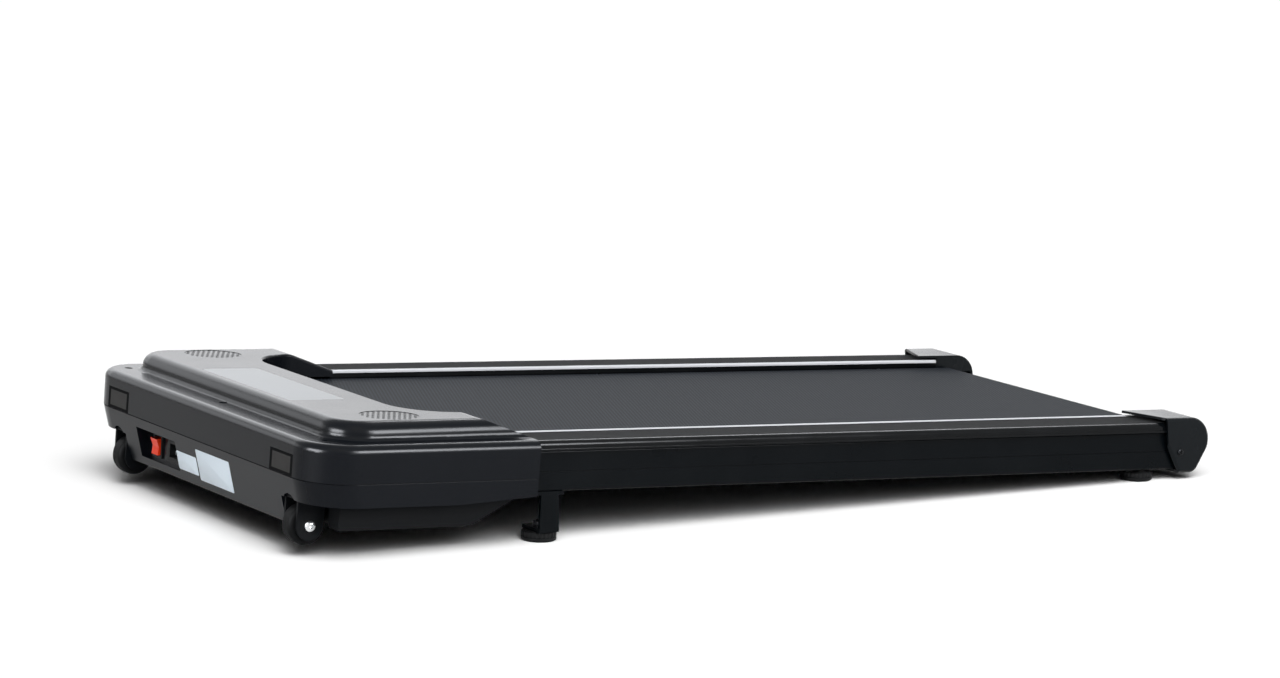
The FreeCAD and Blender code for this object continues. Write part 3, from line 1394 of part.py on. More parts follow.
rear_collar_top = s.rear_frame_height - s.seat_gap - s.foot_collar_diameter / 2 * math.tan(slope)
rear_stud_top = s.rear_frame_height + s.frame_wall + s.foot_travel


def foot_place(sign, y):
    """The point on the floor under a foot, whose stud meets the frame's underside."""
    on_frame = deck_place.multVec(Vector(sign * foot_x, y, frame_bottom))
    return Vector(on_frame.x, on_frame.y, 0)


def front_leg(name, sign):
    wall = s.leg_wall
    flange_half = s.leg_flange_length / 2
    low, high = mirrored(sign, frame_in, frame_out)
    flange = box((low, high), (front_foot_y - flange_half, front_foot_y + flange_half),
                 (frame_bottom - wall, frame_bottom))
    to_deck = deck_place.inverse()
    place = foot_place(sign, front_foot_y)
    lip_centre = to_deck.multVec(Vector(place.x, place.y, (lip_low + lip_high) / 2))
    top_half = s.leg_width_top / 2
    bottom_half = s.leg_width_bottom / 2
    bottom_y = (lip_centre.y - bottom_half, lip_centre.y + bottom_half)
    corners = [(front_foot_y - top_half, frame_bottom, 0), (bottom_y[0], lip_centre.z, 0),
               (bottom_y[1], lip_centre.z, 0), (front_foot_y + top_half, frame_bottom, 0)]
    plate = feature(side_slab(corners, *mirrored(sign, frame_out - wall, frame_out)))
    lip_x = mirrored(sign, foot_x - s.leg_lip_reach, frame_out)
    lip_shape = block_shape(lip_x, (place.y - bottom_half, place.y + bottom_half), (lip_low, lip_high))
    stud_hole = s.foot_stud_diameter / 2 + s.seat_gap
    lip_shape = lip_shape.cut(rod_shape("Z", stud_hole, lip_low - s.overrun, lip_high + s.overrun,
                                        x=place.x, y=place.y))
    lip_shape.Placement = to_deck.multiply(lip_shape.Placement)
    holes = [rod("Z", s.leg_screw_diameter / 2 + s.screw_gap, frame_bottom - wall - s.overrun,
                 frame_bottom + s.overrun, x=sign * frame_mid, y=y) for y in leg_screw_ys]
    piece(f"{name}_front_leg", cut(fuse([flange, plate, feature(lip_shape)]), holes))


def leg_screws():
    screws = []
    for _, sign in SIDES:
        for y in leg_screw_ys:
            x = sign * frame_mid
            seat = frame_bottom - s.leg_wall
            tip = frame_bottom + s.frame_wall + s.overrun
            head = rod("Z", s.leg_screw_head / 2, seat - s.leg_screw_head_height, seat, x=x, y=y)
            shank = rod("Z", s.leg_screw_diameter / 2, seat, tip, x=x, y=y)
            screws.append(fuse([head, shank]))
    piece("leg_screws", group(screws))


def foot(name, sign, y, stud_top, collar_top):
    """A round pad with a collar and a stud; it stands upright on the floor, whatever the deck's tilt."""
    radius = s.foot_diameter / 2
    collar = s.foot_collar_diameter / 2
    stud = s.foot_stud_diameter / 2
    section = [(0, 0), (radius, 0), (radius, s.foot_height), (collar, s.foot_height), (collar, collar_top),
               (stud, collar_top), (stud, stud_top), (0, stud_top)]
    if near(s.foot_height, collar_top):
        section = section[:3] + [(stud, s.foot_height)] + section[6:]
    body = turned("XZ_Plane", section, "V_Axis")
    round_edges(body, s.foot_edge_radius, lambda edge: is_circle(edge, radius))
    body.Label = name
    body.Placement = FreeCAD.Placement(foot_place(sign, y), FreeCAD.Rotation())
    pieces.append(body)


for side_name, side_sign in SIDES:
    side_frame(side_name, side_sign)
    foot_rail(side_name, side_sign)
    trim_strip(side_name, side_sign)
walking_belt()
deck()
roller("front", front_roller_y)
roller("rear", rear_roller_y)
tension_bolts()
drive()
drive_belt()
motor_carrier()
electronics()
upper_cover()
lower_casing()
belly_pan()
display_panel()
power_switch()
power_rocker()
power_inlet()
cover_screws()
wheel_bolts()
rear_cap_screws()
leg_screws()
for side_name, side_sign in SIDES:
    speaker(side_name, side_sign)
    front_plug(side_name, side_sign)
    transport_wheel(side_name, side_sign)
    rear_cap(side_name, side_sign)
    front_leg(side_name, side_sign)
    foot(f"{side_name}_front_foot", side_sign, front_foot_y, lip_high + s.foot_travel, s.foot_height)
    foot(f"{side_name}_rear_foot", side_sign, rear_foot_y, rear_stud_top, rear_collar_top)

doc.recompute()
for thing in doc.Objects:
    if "Invalid" in thing.State or "Error" in thing.State:
        raise RuntimeError(f"{thing.Label} failed: {thing.State}")
for thing in pieces:
    if thing.Shape.isNull() or not thing.Shape.isValid() or not thing.Shape.Solids:
        raise RuntimeError(f"{thing.Label} has no valid solid")

os.makedirs("parts", exist_ok=True)
for thing in pieces:
    thing.Shape.exportStep(os.path.join("parts", f"{thing.Label}.step"))
    print(f"{thing.Label}: {len(thing.Shape.Solids)} solid(s), {thing.Shape.Volume:.0f} mm3")
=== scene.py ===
import json
import math

import bmesh
import bpy
from bpy.props import FloatProperty, FloatVectorProperty, PointerProperty
from mathutils import Matrix, Vector
from mathutils.bvhtree import BVHTree


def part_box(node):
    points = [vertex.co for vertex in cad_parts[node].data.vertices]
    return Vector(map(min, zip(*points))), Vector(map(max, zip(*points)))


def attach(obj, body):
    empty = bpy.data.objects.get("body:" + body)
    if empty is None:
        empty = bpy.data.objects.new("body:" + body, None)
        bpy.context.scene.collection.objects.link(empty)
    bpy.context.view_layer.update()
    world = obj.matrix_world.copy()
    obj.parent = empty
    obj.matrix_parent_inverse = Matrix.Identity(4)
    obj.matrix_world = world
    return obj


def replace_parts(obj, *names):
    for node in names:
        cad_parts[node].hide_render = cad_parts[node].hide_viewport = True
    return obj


bl_info = {
    "name": "Walking pad looks",
    "version": (1, 0, 0),
    "blender": (4, 5, 0),
    "location": "View3D > Sidebar > Walking pad",
    "description": "Gives the walking pad its finishes, its small fittings and a photo stage",
    "category": "Object",
}

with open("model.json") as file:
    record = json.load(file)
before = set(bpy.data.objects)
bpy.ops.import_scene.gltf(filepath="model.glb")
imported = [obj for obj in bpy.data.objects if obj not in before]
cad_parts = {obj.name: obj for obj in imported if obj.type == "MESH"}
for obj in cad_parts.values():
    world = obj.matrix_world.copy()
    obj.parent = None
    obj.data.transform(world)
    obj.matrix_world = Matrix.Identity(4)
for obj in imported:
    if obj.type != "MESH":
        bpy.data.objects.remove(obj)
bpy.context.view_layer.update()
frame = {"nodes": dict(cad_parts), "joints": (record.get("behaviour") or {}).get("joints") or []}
nodes = frame["nodes"]

MILLIMETRE = 0.001


def linear(hex_colour):
    """The linear red, green and blue of an sRGB hex colour."""
    shares = [int(hex_colour[i:i + 2], 16) / 255 for i in (0, 2, 4)]
    return tuple(c / 12.92 if c <= 0.04045 else ((c + 0.055) / 1.055) ** 2.4 for c in shares)


def colour(name, hex_colour, description):
    """A colour that a user may change, given as sRGB hex."""
    return FloatVectorProperty(name=name, description=description, default=linear(hex_colour),
                               subtype="COLOR", size=3, min=0.0, max=1.0)


def length(name, millimetres, description):
    """A length that a user may change, given in millimetres and kept in metres."""
    return FloatProperty(name=name, description=description, default=millimetres * MILLIMETRE,
                         min=0.0, precision=5, unit="LENGTH")


class WalkingPadColours(bpy.types.PropertyGroup):
    """Colours of the walking pad's finishes."""

    housing: colour("Housing", "0a0d12", "Moulded cover and casing of the motor")
    plug: colour("Front plugs", "1d1c1b", "Rectangular plugs in the cover's front")
    pan: colour("Belly pan", "07090c", "Tray under the motor, and wheel forks")
    rail: colour("Foot rails", "06080a", "Extruded foot rails")
    frame: colour("Side frames", "04070a", "Powder-coated side frames and legs")
    cap: colour("Rear caps", "0b0f12", "Moulded end caps")
    trim: colour("Trim strips", "c9cbd0", "Anodised strips beside the belt")
    belt: colour("Walking belt", "0e1115", "Face of the walking belt")
    rubber: colour("Rubber", "0c0d0e", "Tyres, feet and cushions")
    display: colour("Display", "666b6f", "Window of the display")
    rocker: colour("Rocker", "f23a12", "Rocker of the power switch")
    nylon: colour("Nylon", "0d0e0f", "Switch body, inlet and grilles")
    zinc: colour("Zinc", "d8dadb", "Bright bolts and pins")
    steel: colour("Steel", "b9bbbd", "Rollers, axles and bearings")
    oxide: colour("Black oxide", "1a1b1d", "Blackened screws")
    iron: colour("Cast metal", "6f7275", "Motor can, flywheel and pulley")
    board: colour("Circuit board", "1f5a34", "Control board")
    fibreboard: colour("Deck board", "1d1a17", "Faced fibreboard under the belt")
    plate: colour("Blank plates", "d4dfe8", "Blank plates on the casing's front")
    floor: colour("Floor", "fcfcfc", "Studio floor")


class WalkingPadSizes(bpy.types.PropertyGroup):
    """Sizes of surface patterns and of fittings that the CAD model leaves plain."""

    tread_pitch: length("Tread pitch", 4.1, "Spacing of the diamonds on the belt's face")
    spark_grain: length("Spark grain", 0.9, "Grain of the moulded plastic")
    rib_pitch: length("Rib pitch", 3.0, "Spacing of the ribs along the foot rails")
    powder_grain: length("Powder grain", 1.4, "Ripple of the powder coat")
    rubber_grain: length("Rubber grain", 0.7, "Grain of moulded rubber")
    brush_width: length("Brush width", 0.35, "Width of brush marks on bright metal")
    edge_reach: length("Edge reach", 0.7, "How far rubbed edges reach in from a corner")
    hex_key: length("Hex key", 4.0, "Width across the flats of the wheel bolts' sockets")
    cross_slot: length("Cross slot", 1.1, "Width of the slots in cross-head screws")
    knurl_pitch: length("Knurl pitch", 5.0, "Spacing of the grooves round the feet")
    knurl_depth: length("Knurl depth", 0.8, "Depth of the grooves round the feet")
    # These two size the dark frame of painted shade in the groove round each front plug
    groove_shade_width: length("Seal width", 2.3, "Width of the rubber seals round the front plugs")
    groove_shade_lip: length("Seal lip", 2.6, "How far the seals' lips lap over the plugs")
    nut_width: length("Nut width", 13.0, "Width across the flats of the feet's lock nuts")
    nut_height: length("Nut height", 4.6, "Height of the feet's lock nuts")
    plate_thickness: length("Plate thickness", 0.3, "Thickness of the blank plates")


# The deck's own frame: its Y runs along the belt from the front roller to the rear one, its Z square to it
def deck_matrix():
    places = {joint["name"]: Vector(joint["pos_m"]) for joint in frame["joints"] if "pos_m" in joint}
    along = (places["rear_roller_spin"] - places["front_roller_spin"]).normalized()
    across = Vector((1, 0, 0))
    up = across.cross(along)
    return Matrix((across, along, up)).transposed().to_4x4()


DECK = deck_matrix()
TO_DECK = DECK.inverted()


def deck_box(node):
    """Lowest and highest corner of a CAD node along the deck's axes, in the deck's turned frame."""
    corners = [TO_DECK @ vertex.co for vertex in nodes[node].data.vertices]
    return (Vector(min(c[i] for c in corners) for i in range(3)),
            Vector(max(c[i] for c in corners) for i in range(3)))


def clusters(node, reach):
    """Boxes, in the deck's frame, of a node's separate solids, which lie further apart than reach."""
    groups = []
    for vertex in nodes[node].data.vertices:
        place = TO_DECK @ vertex.co
        for group in groups:
            if (group[0] - place).length < reach:
                group.append(place)
                break
        else:
            groups.append([place])
    return [(Vector(min(p[i] for p in group) for i in range(3)),
             Vector(max(p[i] for p in group) for i in range(3))) for group in groups]


# Materials
UNIT = (0.0, 1.0)
NOISE_RANGE = (0.3, 0.7)       # where most of a noise's values lie
WAVE_SPACING = math.tau / 20   # spacing of the wave texture's bands at scale 1
DRIFT_SIZE = 60 * MILLIMETRE   # size of the clouds in which a colour drifts
RUB_RANGE = (0.96, 0.80)       # likeness of the softened and the true normal where rubbing starts and is full
RUBBED_LIGHTER = 2.2           # how much lighter a fully rubbed edge is
GRAIN_STRENGTH = 0.6           # how strongly the grain tilts the light
TREAD_ANGLE = math.radians(66)
SHARP_NODE = math.radians(32)


def add(tree, kind, inputs=None, **settings):
    """Adds a node with its settings; each input is a value, or a socket that is linked to it."""
    made = tree.nodes.new(kind)
    for name, value in settings.items():
        setattr(made, name, value)
    for name, value in (inputs or {}).items():
        if isinstance(value, bpy.types.NodeSocket):
            tree.links.new(value, made.inputs[name])
        else:
            made.inputs[name].default_value = value
    return made


def noise(tree, place, size, detail, **more):
    """A cloudy noise of this size in metres."""
    inputs = {"Vector": place, "Scale": 1 / size, "Detail": detail, **more}
    return add(tree, "ShaderNodeTexNoise", inputs).outputs["Fac"]


def waves(tree, place, pitch):
    """Even ribs across X, with their pitch in metres."""
    inputs = {"Vector": place, "Scale": WAVE_SPACING / pitch, "Distortion": 0.0}
    return add(tree, "ShaderNodeTexWave", inputs, bands_direction="X").outputs["Fac"]


def blend(tree, factor, first, second):
    """A colour between two others."""
    inputs = {"Factor": factor, "A": first, "B": second}
    return add(tree, "ShaderNodeMix", inputs, data_type="RGBA").outputs["Result"]


def remap(tree, value, source, target):
    """A value taken from one range to another."""
    names = ("Value", "From Min", "From Max", "To Min", "To Max")
    return add(tree, "ShaderNodeMapRange", dict(zip(names, (value, *source, *target)))).outputs["Result"]


def reckon(tree, operation, *values):
    """The result of a Math node on values or sockets."""
    return add(tree, "ShaderNodeMath", dict(enumerate(values)), operation=operation).outputs["Value"]


def dot(tree, first, second):
    """The dot product of two vectors."""
    inputs = {0: first, 1: second}
    return add(tree, "ShaderNodeVectorMath", inputs, operation="DOT_PRODUCT").outputs["Value"]


def emboss(tree, shader, height, depth, strength):
    """Gives the shader a bump, its depth in metres."""
    bump = add(tree, "ShaderNodeBump", {"Height": height, "Distance": depth, "Strength": strength})
    tree.links.new(bump.outputs["Normal"], shader.inputs["Normal"])


def blank_material(name):
    """A material with an empty tree, and its Principled shader linked to the output."""
    material = bpy.data.materials.new(name)
    material.use_nodes = True
    tree = material.node_tree
    tree.nodes.clear()
    shader = add(tree, "ShaderNodeBsdfPrincipled")
    add(tree, "ShaderNodeOutputMaterial", {"Surface": shader.outputs["BSDF"]})
    return material, tree, shader


def rgba(rgb, factor=1.0):
    """A colour with its alpha, made lighter or darker by a factor."""
    return tuple(min(1.0, c * factor) for c in rgb) + (1.0,)


def surface(name, rgb, roughness, grain, depth, stretch=(1, 1, 1), drift=0.10, rub=0.0, metallic=0.0,
            specular=0.11, coat=0.0, spread=0.04):
    """A finish in one colour: it drifts a little over the piece, has a fine grain, and its edges are rubbed.

    grain is the size of the grain and depth its height, both in metres; stretch draws it out along an axis.
    """
    material, tree, shader = blank_material(name)
    place = add(tree, "ShaderNodeTexCoord").outputs["Object"]
    drawn = add(tree, "ShaderNodeMapping", {"Vector": place, "Scale": stretch}).outputs["Vector"]
    fine = noise(tree, drawn, grain, 3.0, Roughness=0.6)
    broad = noise(tree, place, DRIFT_SIZE, 4.0)
    base = blend(tree, broad, rgba(rgb, 1 - drift), rgba(rgb, 1 + drift))
    if rub:
        reach = bpy.context.scene.walking_pad_sizes.edge_reach
        soft = add(tree, "ShaderNodeBevel", {"Radius": reach}, samples=4).outputs["Normal"]
        true = add(tree, "ShaderNodeNewGeometry").outputs["Normal"]
        edge = remap(tree, dot(tree, soft, true), RUB_RANGE, (0.0, rub))
        base = blend(tree, reckon(tree, "MULTIPLY", edge, broad), base, rgba(rgb, RUBBED_LIGHTER))
    gloss = remap(tree, broad, NOISE_RANGE, (roughness - spread, roughness + spread))
    tree.links.new(base, shader.inputs["Base Color"])
    tree.links.new(gloss, shader.inputs["Roughness"])
    emboss(tree, shader, fine, depth, GRAIN_STRENGTH)
    shader.inputs["Metallic"].default_value = metallic
    shader.inputs["Specular IOR Level"].default_value = specular
    shader.inputs["Coat Weight"].default_value = coat
    return material


def treaded_belt(name, rgb, pitch):
    """Vinyl calendered with a diamond tread: dull, with a fine criss-cross of low, paler ribs.

    The real pitch is about half of this one, which is drawn coarser so that it shows from across a room.
    """
    material, tree, shader = blank_material(name)
    place = add(tree, "ShaderNodeTexCoord").outputs["Object"]
    ribs = []
    for angle in (TREAD_ANGLE, -TREAD_ANGLE):
        turned = add(tree, "ShaderNodeMapping", {"Vector": place, "Rotation": (0, 0, angle)})
        ribs.append(waves(tree, turned.outputs["Vector"], pitch))
    diamonds = reckon(tree, "MULTIPLY", *ribs)
    dust = noise(tree, place, 90 * MILLIMETRE, 5.0)
    grit = noise(tree, place, 1.1 * MILLIMETRE, 2.0)
    worn = blend(tree, dust, rgba(rgb, 0.74), rgba(rgb, 0.96))
    raised = blend(tree, diamonds, worn, rgba(rgb, 6.0))
    tree.links.new(raised, shader.inputs["Base Color"])
    emboss(tree, shader, reckon(tree, "MULTIPLY_ADD", grit, 0.25, diamonds), 0.5 * MILLIMETRE, 0.4)
    shader.inputs["Roughness"].default_value = 0.62
    shader.inputs["Specular IOR Level"].default_value = 0.035
    return material


def ribbed_extrusion(name, rgb, pitch):
    """PVC extruded with fine ribs along its top: glossy black round its edges, dull where the foot stands.

    The real ribs are about half as wide as these, which are drawn coarser so that they show.
    """
    material, tree, shader = blank_material(name)
    place = add(tree, "ShaderNodeTexCoord").outputs["Object"]
    normal = add(tree, "ShaderNodeNewGeometry").outputs["Normal"]
    rise = add(tree, "ShaderNodeSeparateXYZ", {"Vector": normal}).outputs["Z"]
    top = remap(tree, rise, (0.97, 0.99), UNIT)
    scuff = noise(tree, place, 45 * MILLIMETRE, 5.0)
    tint = blend(tree, scuff, rgba(rgb, 0.85), rgba(rgb, 1.25))
    shine = remap(tree, scuff, NOISE_RANGE, (0.16, 0.24))
    tree.links.new(tint, shader.inputs["Base Color"])
    tree.links.new(remap(tree, top, UNIT, (shine, 0.9)), shader.inputs["Roughness"])
    emboss(tree, shader, waves(tree, place, pitch), 0.8 * MILLIMETRE, top)
    shader.inputs["Specular IOR Level"].default_value = 0.13
    return material


def display_film(name, rgb):
    """Hard-coated polycarbonate film over the display: pale, smooth and softly shining, a little uneven."""
    material, tree, shader = blank_material(name)
    place = add(tree, "ShaderNodeTexCoord").outputs["Object"]
    smear = noise(tree, place, 140 * MILLIMETRE, 1.0)
    tint = blend(tree, smear, rgba(rgb, 0.96), rgba(rgb, 1.04))
    tree.links.new(tint, shader.inputs["Base Color"])
    tree.links.new(remap(tree, smear, UNIT, (0.27, 0.31)), shader.inputs["Roughness"])
    shader.inputs["Specular IOR Level"].default_value = 0.1
    shader.inputs["Coat Weight"].default_value = 0.1
    shader.inputs["Coat Roughness"].default_value = 0.1
    return material


def dress(material, names):
    """Gives CAD nodes a finish, smooth over their rounds and sharp at their corners."""
    for name in names:
        mesh = nodes[name].data
        mesh.materials.clear()
        mesh.materials.append(material)
        mesh.shade_smooth()
        mesh.set_sharp_from_angle(angle=SHARP_NODE)


# Meshes
SHARP_PIECE = math.radians(35)
# Profiles of screw heads. Socket: shares of the key's width and the head's height. Pan: shares of the head's
# radius and height. Cross recess: shares of the head's radius, the slot's width and the head's height.
HEX_SOCKET = ((1.12, 0.97), (1.0, 0.89), (1.0, 0.42), (0.2, 0.30))
PAN_HEAD = ((1.0, 0.0), (1.0, 0.45), (0.94, 0.75), (0.78, 0.95), (0.62, 1.0))
CROSS_RECESS = ((0.56, 1.0, 0.99), (0.40, 0.8, 0.45), (0.10, 0.3, 0.30))


def round_at(size):
    """The radius of a round outline, whatever the angle."""
    return lambda angle: size


def hex_at(flats):
    """The radius of a hexagon with this width across its flats."""
    sector = math.radians(60)
    return lambda angle: flats / 2 / math.cos((angle + sector / 2) % sector - sector / 2)


def cross_at(reach, width):
    """The radius of a cross whose arms have this reach and width."""
    def arm(angle):
        return min(reach / max(abs(math.cos(angle)), 1e-6), width / 2 / max(abs(math.sin(angle)), 1e-6))
    return lambda angle: max(arm(angle), arm(angle + math.radians(90)))


def lathe(rings, segments=96):
    """A closed mesh from rings of (radius by angle, height), first and last closed by a face."""
    mesh = bmesh.new()
    loops = []
    for radius_at, height in rings:
        loop = []
        for step in range(segments):
            angle = math.tau * step / segments
            radius = radius_at(angle)
            loop.append(mesh.verts.new((radius * math.cos(angle), radius * math.sin(angle), height)))
        loops.append(loop)
    for low, high in zip(loops, loops[1:]):
        for step in range(segments):
            ahead = (step + 1) % segments
            mesh.faces.new((low[step], low[ahead], high[ahead], high[step]))
    mesh.faces.new(list(reversed(loops[0])))
    mesh.faces.new(loops[-1])
    bmesh.ops.recalc_face_normals(mesh, faces=mesh.faces)
    return mesh


def merged(name, parts):
    """One mesh object from several (bmesh, placement) parts."""
    whole = bpy.data.meshes.new(name)
    total = bmesh.new()
    for part, place in parts:
        scratch = bpy.data.meshes.new(name + "_part")
        part.to_mesh(scratch)
        part.free()
        scratch.transform(place)
        total.from_mesh(scratch)
        bpy.data.meshes.remove(scratch)
    total.to_mesh(whole)
    total.free()
    whole.shade_smooth()
    whole.set_sharp_from_angle(angle=SHARP_PIECE)
    made = bpy.data.objects.new(name, whole)
    bpy.context.scene.collection.objects.link(made)
    return made


def fit(piece, body, material):
    """Puts a finished piece on a body, with its material."""
    piece.data.materials.append(material)
    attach(piece, body)
    return piece


def facing(direction, place):
    """A placement whose Z looks along a direction."""
    return Matrix.Translation(place) @ Vector(direction).to_track_quat("Z", "Y").to_matrix().to_4x4()


def button_head(radius, height, hex_key):
    """A domed bolt head with a hex socket, its seat at zero."""
    wall = 0.14
    dome = [(round_at(radius), 0.0), (round_at(radius), height * wall)]
    for step in range(1, 7):
        angle = math.radians(90) * step / 8
        dome.append((round_at(radius * math.cos(angle)), height * (wall + (1 - wall) * math.sin(angle))))
    socket = [(hex_at(hex_key * wide), height * rise) for wide, rise in HEX_SOCKET]
    return lathe(dome + socket)


def cross_head(radius, height, slot):
    """A pan head with a cross recess, its seat at zero."""
    rings = [(round_at(radius * wide), height * rise) for wide, rise in PAN_HEAD]
    rings += [(cross_at(radius * reach, slot * wide), height * rise) for reach, wide, rise in CROSS_RECESS]
    return lathe(rings)


def shank(radius, low, high):
    """A bolt's shank with a chamfered end, from low to high."""
    chamfer = radius * 0.2
    rings = [(round_at(radius - chamfer), low), (round_at(radius), low + chamfer), (round_at(radius), high)]
    return lathe(rings, 48)


class WALKINGPAD_OT_housing(bpy.types.Operator):
    """Finish the motor housing: cover, casing, plugs and belly pan"""

    bl_idname = "walking_pad.housing"
    bl_label = "Motor housing"

    def execute(self, context):
        colours = context.scene.walking_pad_colours
        sizes = context.scene.walking_pad_sizes
        # Spark-eroded ABS: dark grey with a satin sheen that brightens towards the horizon
        abs_plastic = surface("spark_eroded_abs", colours.housing, 0.24, sizes.spark_grain, 0.004 * MILLIMETRE,
                              rub=0.4, spread=0.012)
        dress(abs_plastic, ["upper_cover", "lower_casing"])
        # The same ABS from another tool, a little warmer and duller
        plug_plastic = surface("moulded_abs_plug", colours.plug, 0.5, sizes.spark_grain, 0.06 * MILLIMETRE,
                               rub=0.4)
        dress(plug_plastic, ["right_front_plug", "left_front_plug"])
        # Painted shade: a dull black rubber frame in the groove round each plug, drawn as the dark line of the
        # groove's shadow
        groove_shade_rubber = surface("painted_groove_shade_rubber", colours.rubber, 0.8, sizes.rubber_grain,
                              0.05 * MILLIMETRE, specular=0.02)
        for side in ("right", "left"):
            made = merged(f"{side}_plug_groove_shade", [(self.groove_shade_frame(f"{side}_front_plug", sizes), DECK)])
            fit(made, "frame", groove_shade_rubber)
        # Polypropylene, moulded matt: nearly black under the housing
        pan_plastic = surface("moulded_polypropylene", colours.pan, 0.55, sizes.spark_grain, 0.08 * MILLIMETRE,
                              rub=0.4, specular=0.06)
        dress(pan_plastic, ["belly_pan", "right_wheel_fork", "left_wheel_fork"])
        return {"FINISHED"}

    @staticmethod
    def groove_shade_frame(plug, sizes):
        """A dark frame of painted shade that fills the groove round a plug and laps over its edge, in the
        deck's frame.
        """
        places = [TO_DECK @ vertex.co for vertex in nodes[plug].data.vertices]
        front = min(place.y for place in places)
        clear = 0.05 * MILLIMETRE
        face = [place for place in places if place.y - front < clear]
        left, right = min(place.x for place in face), max(place.x for place in face)
        low, high = min(place.z for place in face), max(place.z for place in face)
        deep = 2.6 * MILLIMETRE
        sill = 0.4 * MILLIMETRE
        rise = 0.015 * MILLIMETRE
        outer = (sizes.groove_shade_width, sizes.groove_shade_width, sill)
        edge = (clear, clear, clear)
        lip = (-sizes.groove_shade_lip, -sizes.groove_shade_lip / 4, -sizes.groove_shade_lip)
        # Rings round the section: how far each reaches past the plug's face at its sides, top and bottom, and
        # its depth behind that face
        section = ((outer, deep), (outer, clear), (edge, -rise), (lip, -rise), (lip, -rise / 3),
                   (edge, -rise / 3), (edge, deep))
        mesh = bmesh.new()
        rings = []
        for (side, top, bottom), depth in section:
            corners = ((left - side, low - bottom), (right + side, low - bottom),
                       (right + side, high + top), (left - side, high + top))
            rings.append([mesh.verts.new((x, front + depth, z)) for x, z in corners])
        for ring, ahead in zip(rings, rings[1:] + rings[:1]):
            for step in range(4):
                after = (step + 1) % 4
                mesh.faces.new((ring[step], ring[after], ahead[after], ahead[step]))
        bmesh.ops.recalc_face_normals(mesh, faces=mesh.faces)
        return mesh


class WALKINGPAD_OT_blank_plates(bpy.types.Operator):
    """Put two thin blank plates on the casing's sloped front"""

    bl_idname = "walking_pad.blank_plates"
    bl_label = "Blank plates"

    # Each plate's name, its left and right end from the middle of the casing, and its lower and upper edge
    # under the parting line, in millimetres
    PLATES = (("small_blank_plate", -57.0, -10.5, -42.0, -21.0),
              ("large_blank_plate", -7.5, 70.0, -46.0, -10.5))

    def execute(self, context):
        sizes = context.scene.walking_pad_sizes
        # Vinyl film with nothing printed on it: pale, even, softly shining
        film = surface("printed_vinyl_blank", context.scene.walking_pad_colours.plate, 0.35, 4 * MILLIMETRE,
                       0.02 * MILLIMETRE, drift=0.03)
        casing = nodes["lower_casing"].data
        tree = BVHTree.FromPolygons([v.co for v in casing.vertices], [p.vertices for p in casing.polygons])
        low, high = deck_box("lower_casing")
        ahead = 100 * MILLIMETRE
        into = DECK.to_3x3() @ Vector((0, 1, 0))
        for name, left, right, bottom, top in self.PLATES:
            centre = Vector(((left + right) / 2 * MILLIMETRE, low.y - ahead,
                             high.z + (bottom + top) / 2 * MILLIMETRE))
            place, normal, _, _ = tree.ray_cast(DECK @ centre, into)
            if place is None:
                raise RuntimeError(f"{name} meets no surface")
            across = Vector((1, 0, 0))
            turn = Matrix((across, normal.cross(across), normal)).transposed().to_4x4()
            width = (right - left) * MILLIMETRE
            height = (top - bottom) * MILLIMETRE
            mesh = self.plate(width, height, sizes.plate_thickness)
            made = merged(name, [(mesh, Matrix.Translation(place) @ turn)])
            fit(made, "frame", film)
        return {"FINISHED"}

    @staticmethod
    def plate(width, height, thickness):
        """A thin plate with rounded corners and a soft upper edge, lying on zero."""
        mesh = bmesh.new()
        radius = 1.5 * MILLIMETRE
        corners = []
        for turn, (side, end) in enumerate(((1, 1), (-1, 1), (-1, -1), (1, -1))):
            centre = Vector((side * (width / 2 - radius), end * (height / 2 - radius), 0))
            for step in range(7):
                angle = math.radians(90) * (turn + step / 6)
                corners.append(centre + radius * Vector((math.cos(angle), math.sin(angle), 0)))
        rings = []
        for inset, rise in ((0.0, 0.0), (0.0, 0.7), (0.12 * MILLIMETRE, 1.0)):
            ring = []
            for corner in corners:
                shrink = Vector((corner.x * (1 - 2 * inset / width), corner.y * (1 - 2 * inset / height), 0))
                ring.append(mesh.verts.new(shrink + Vector((0, 0, thickness * rise))))
            rings.append(ring)
        count = len(corners)
        for low, high in zip(rings, rings[1:]):
            for step in range(count):
                ahead = (step + 1) % count
                mesh.faces.new((low[step], low[ahead], high[ahead], high[step]))
        mesh.faces.new(rings[-1])
        mesh.faces.new(list(reversed(rings[0])))
        return mesh


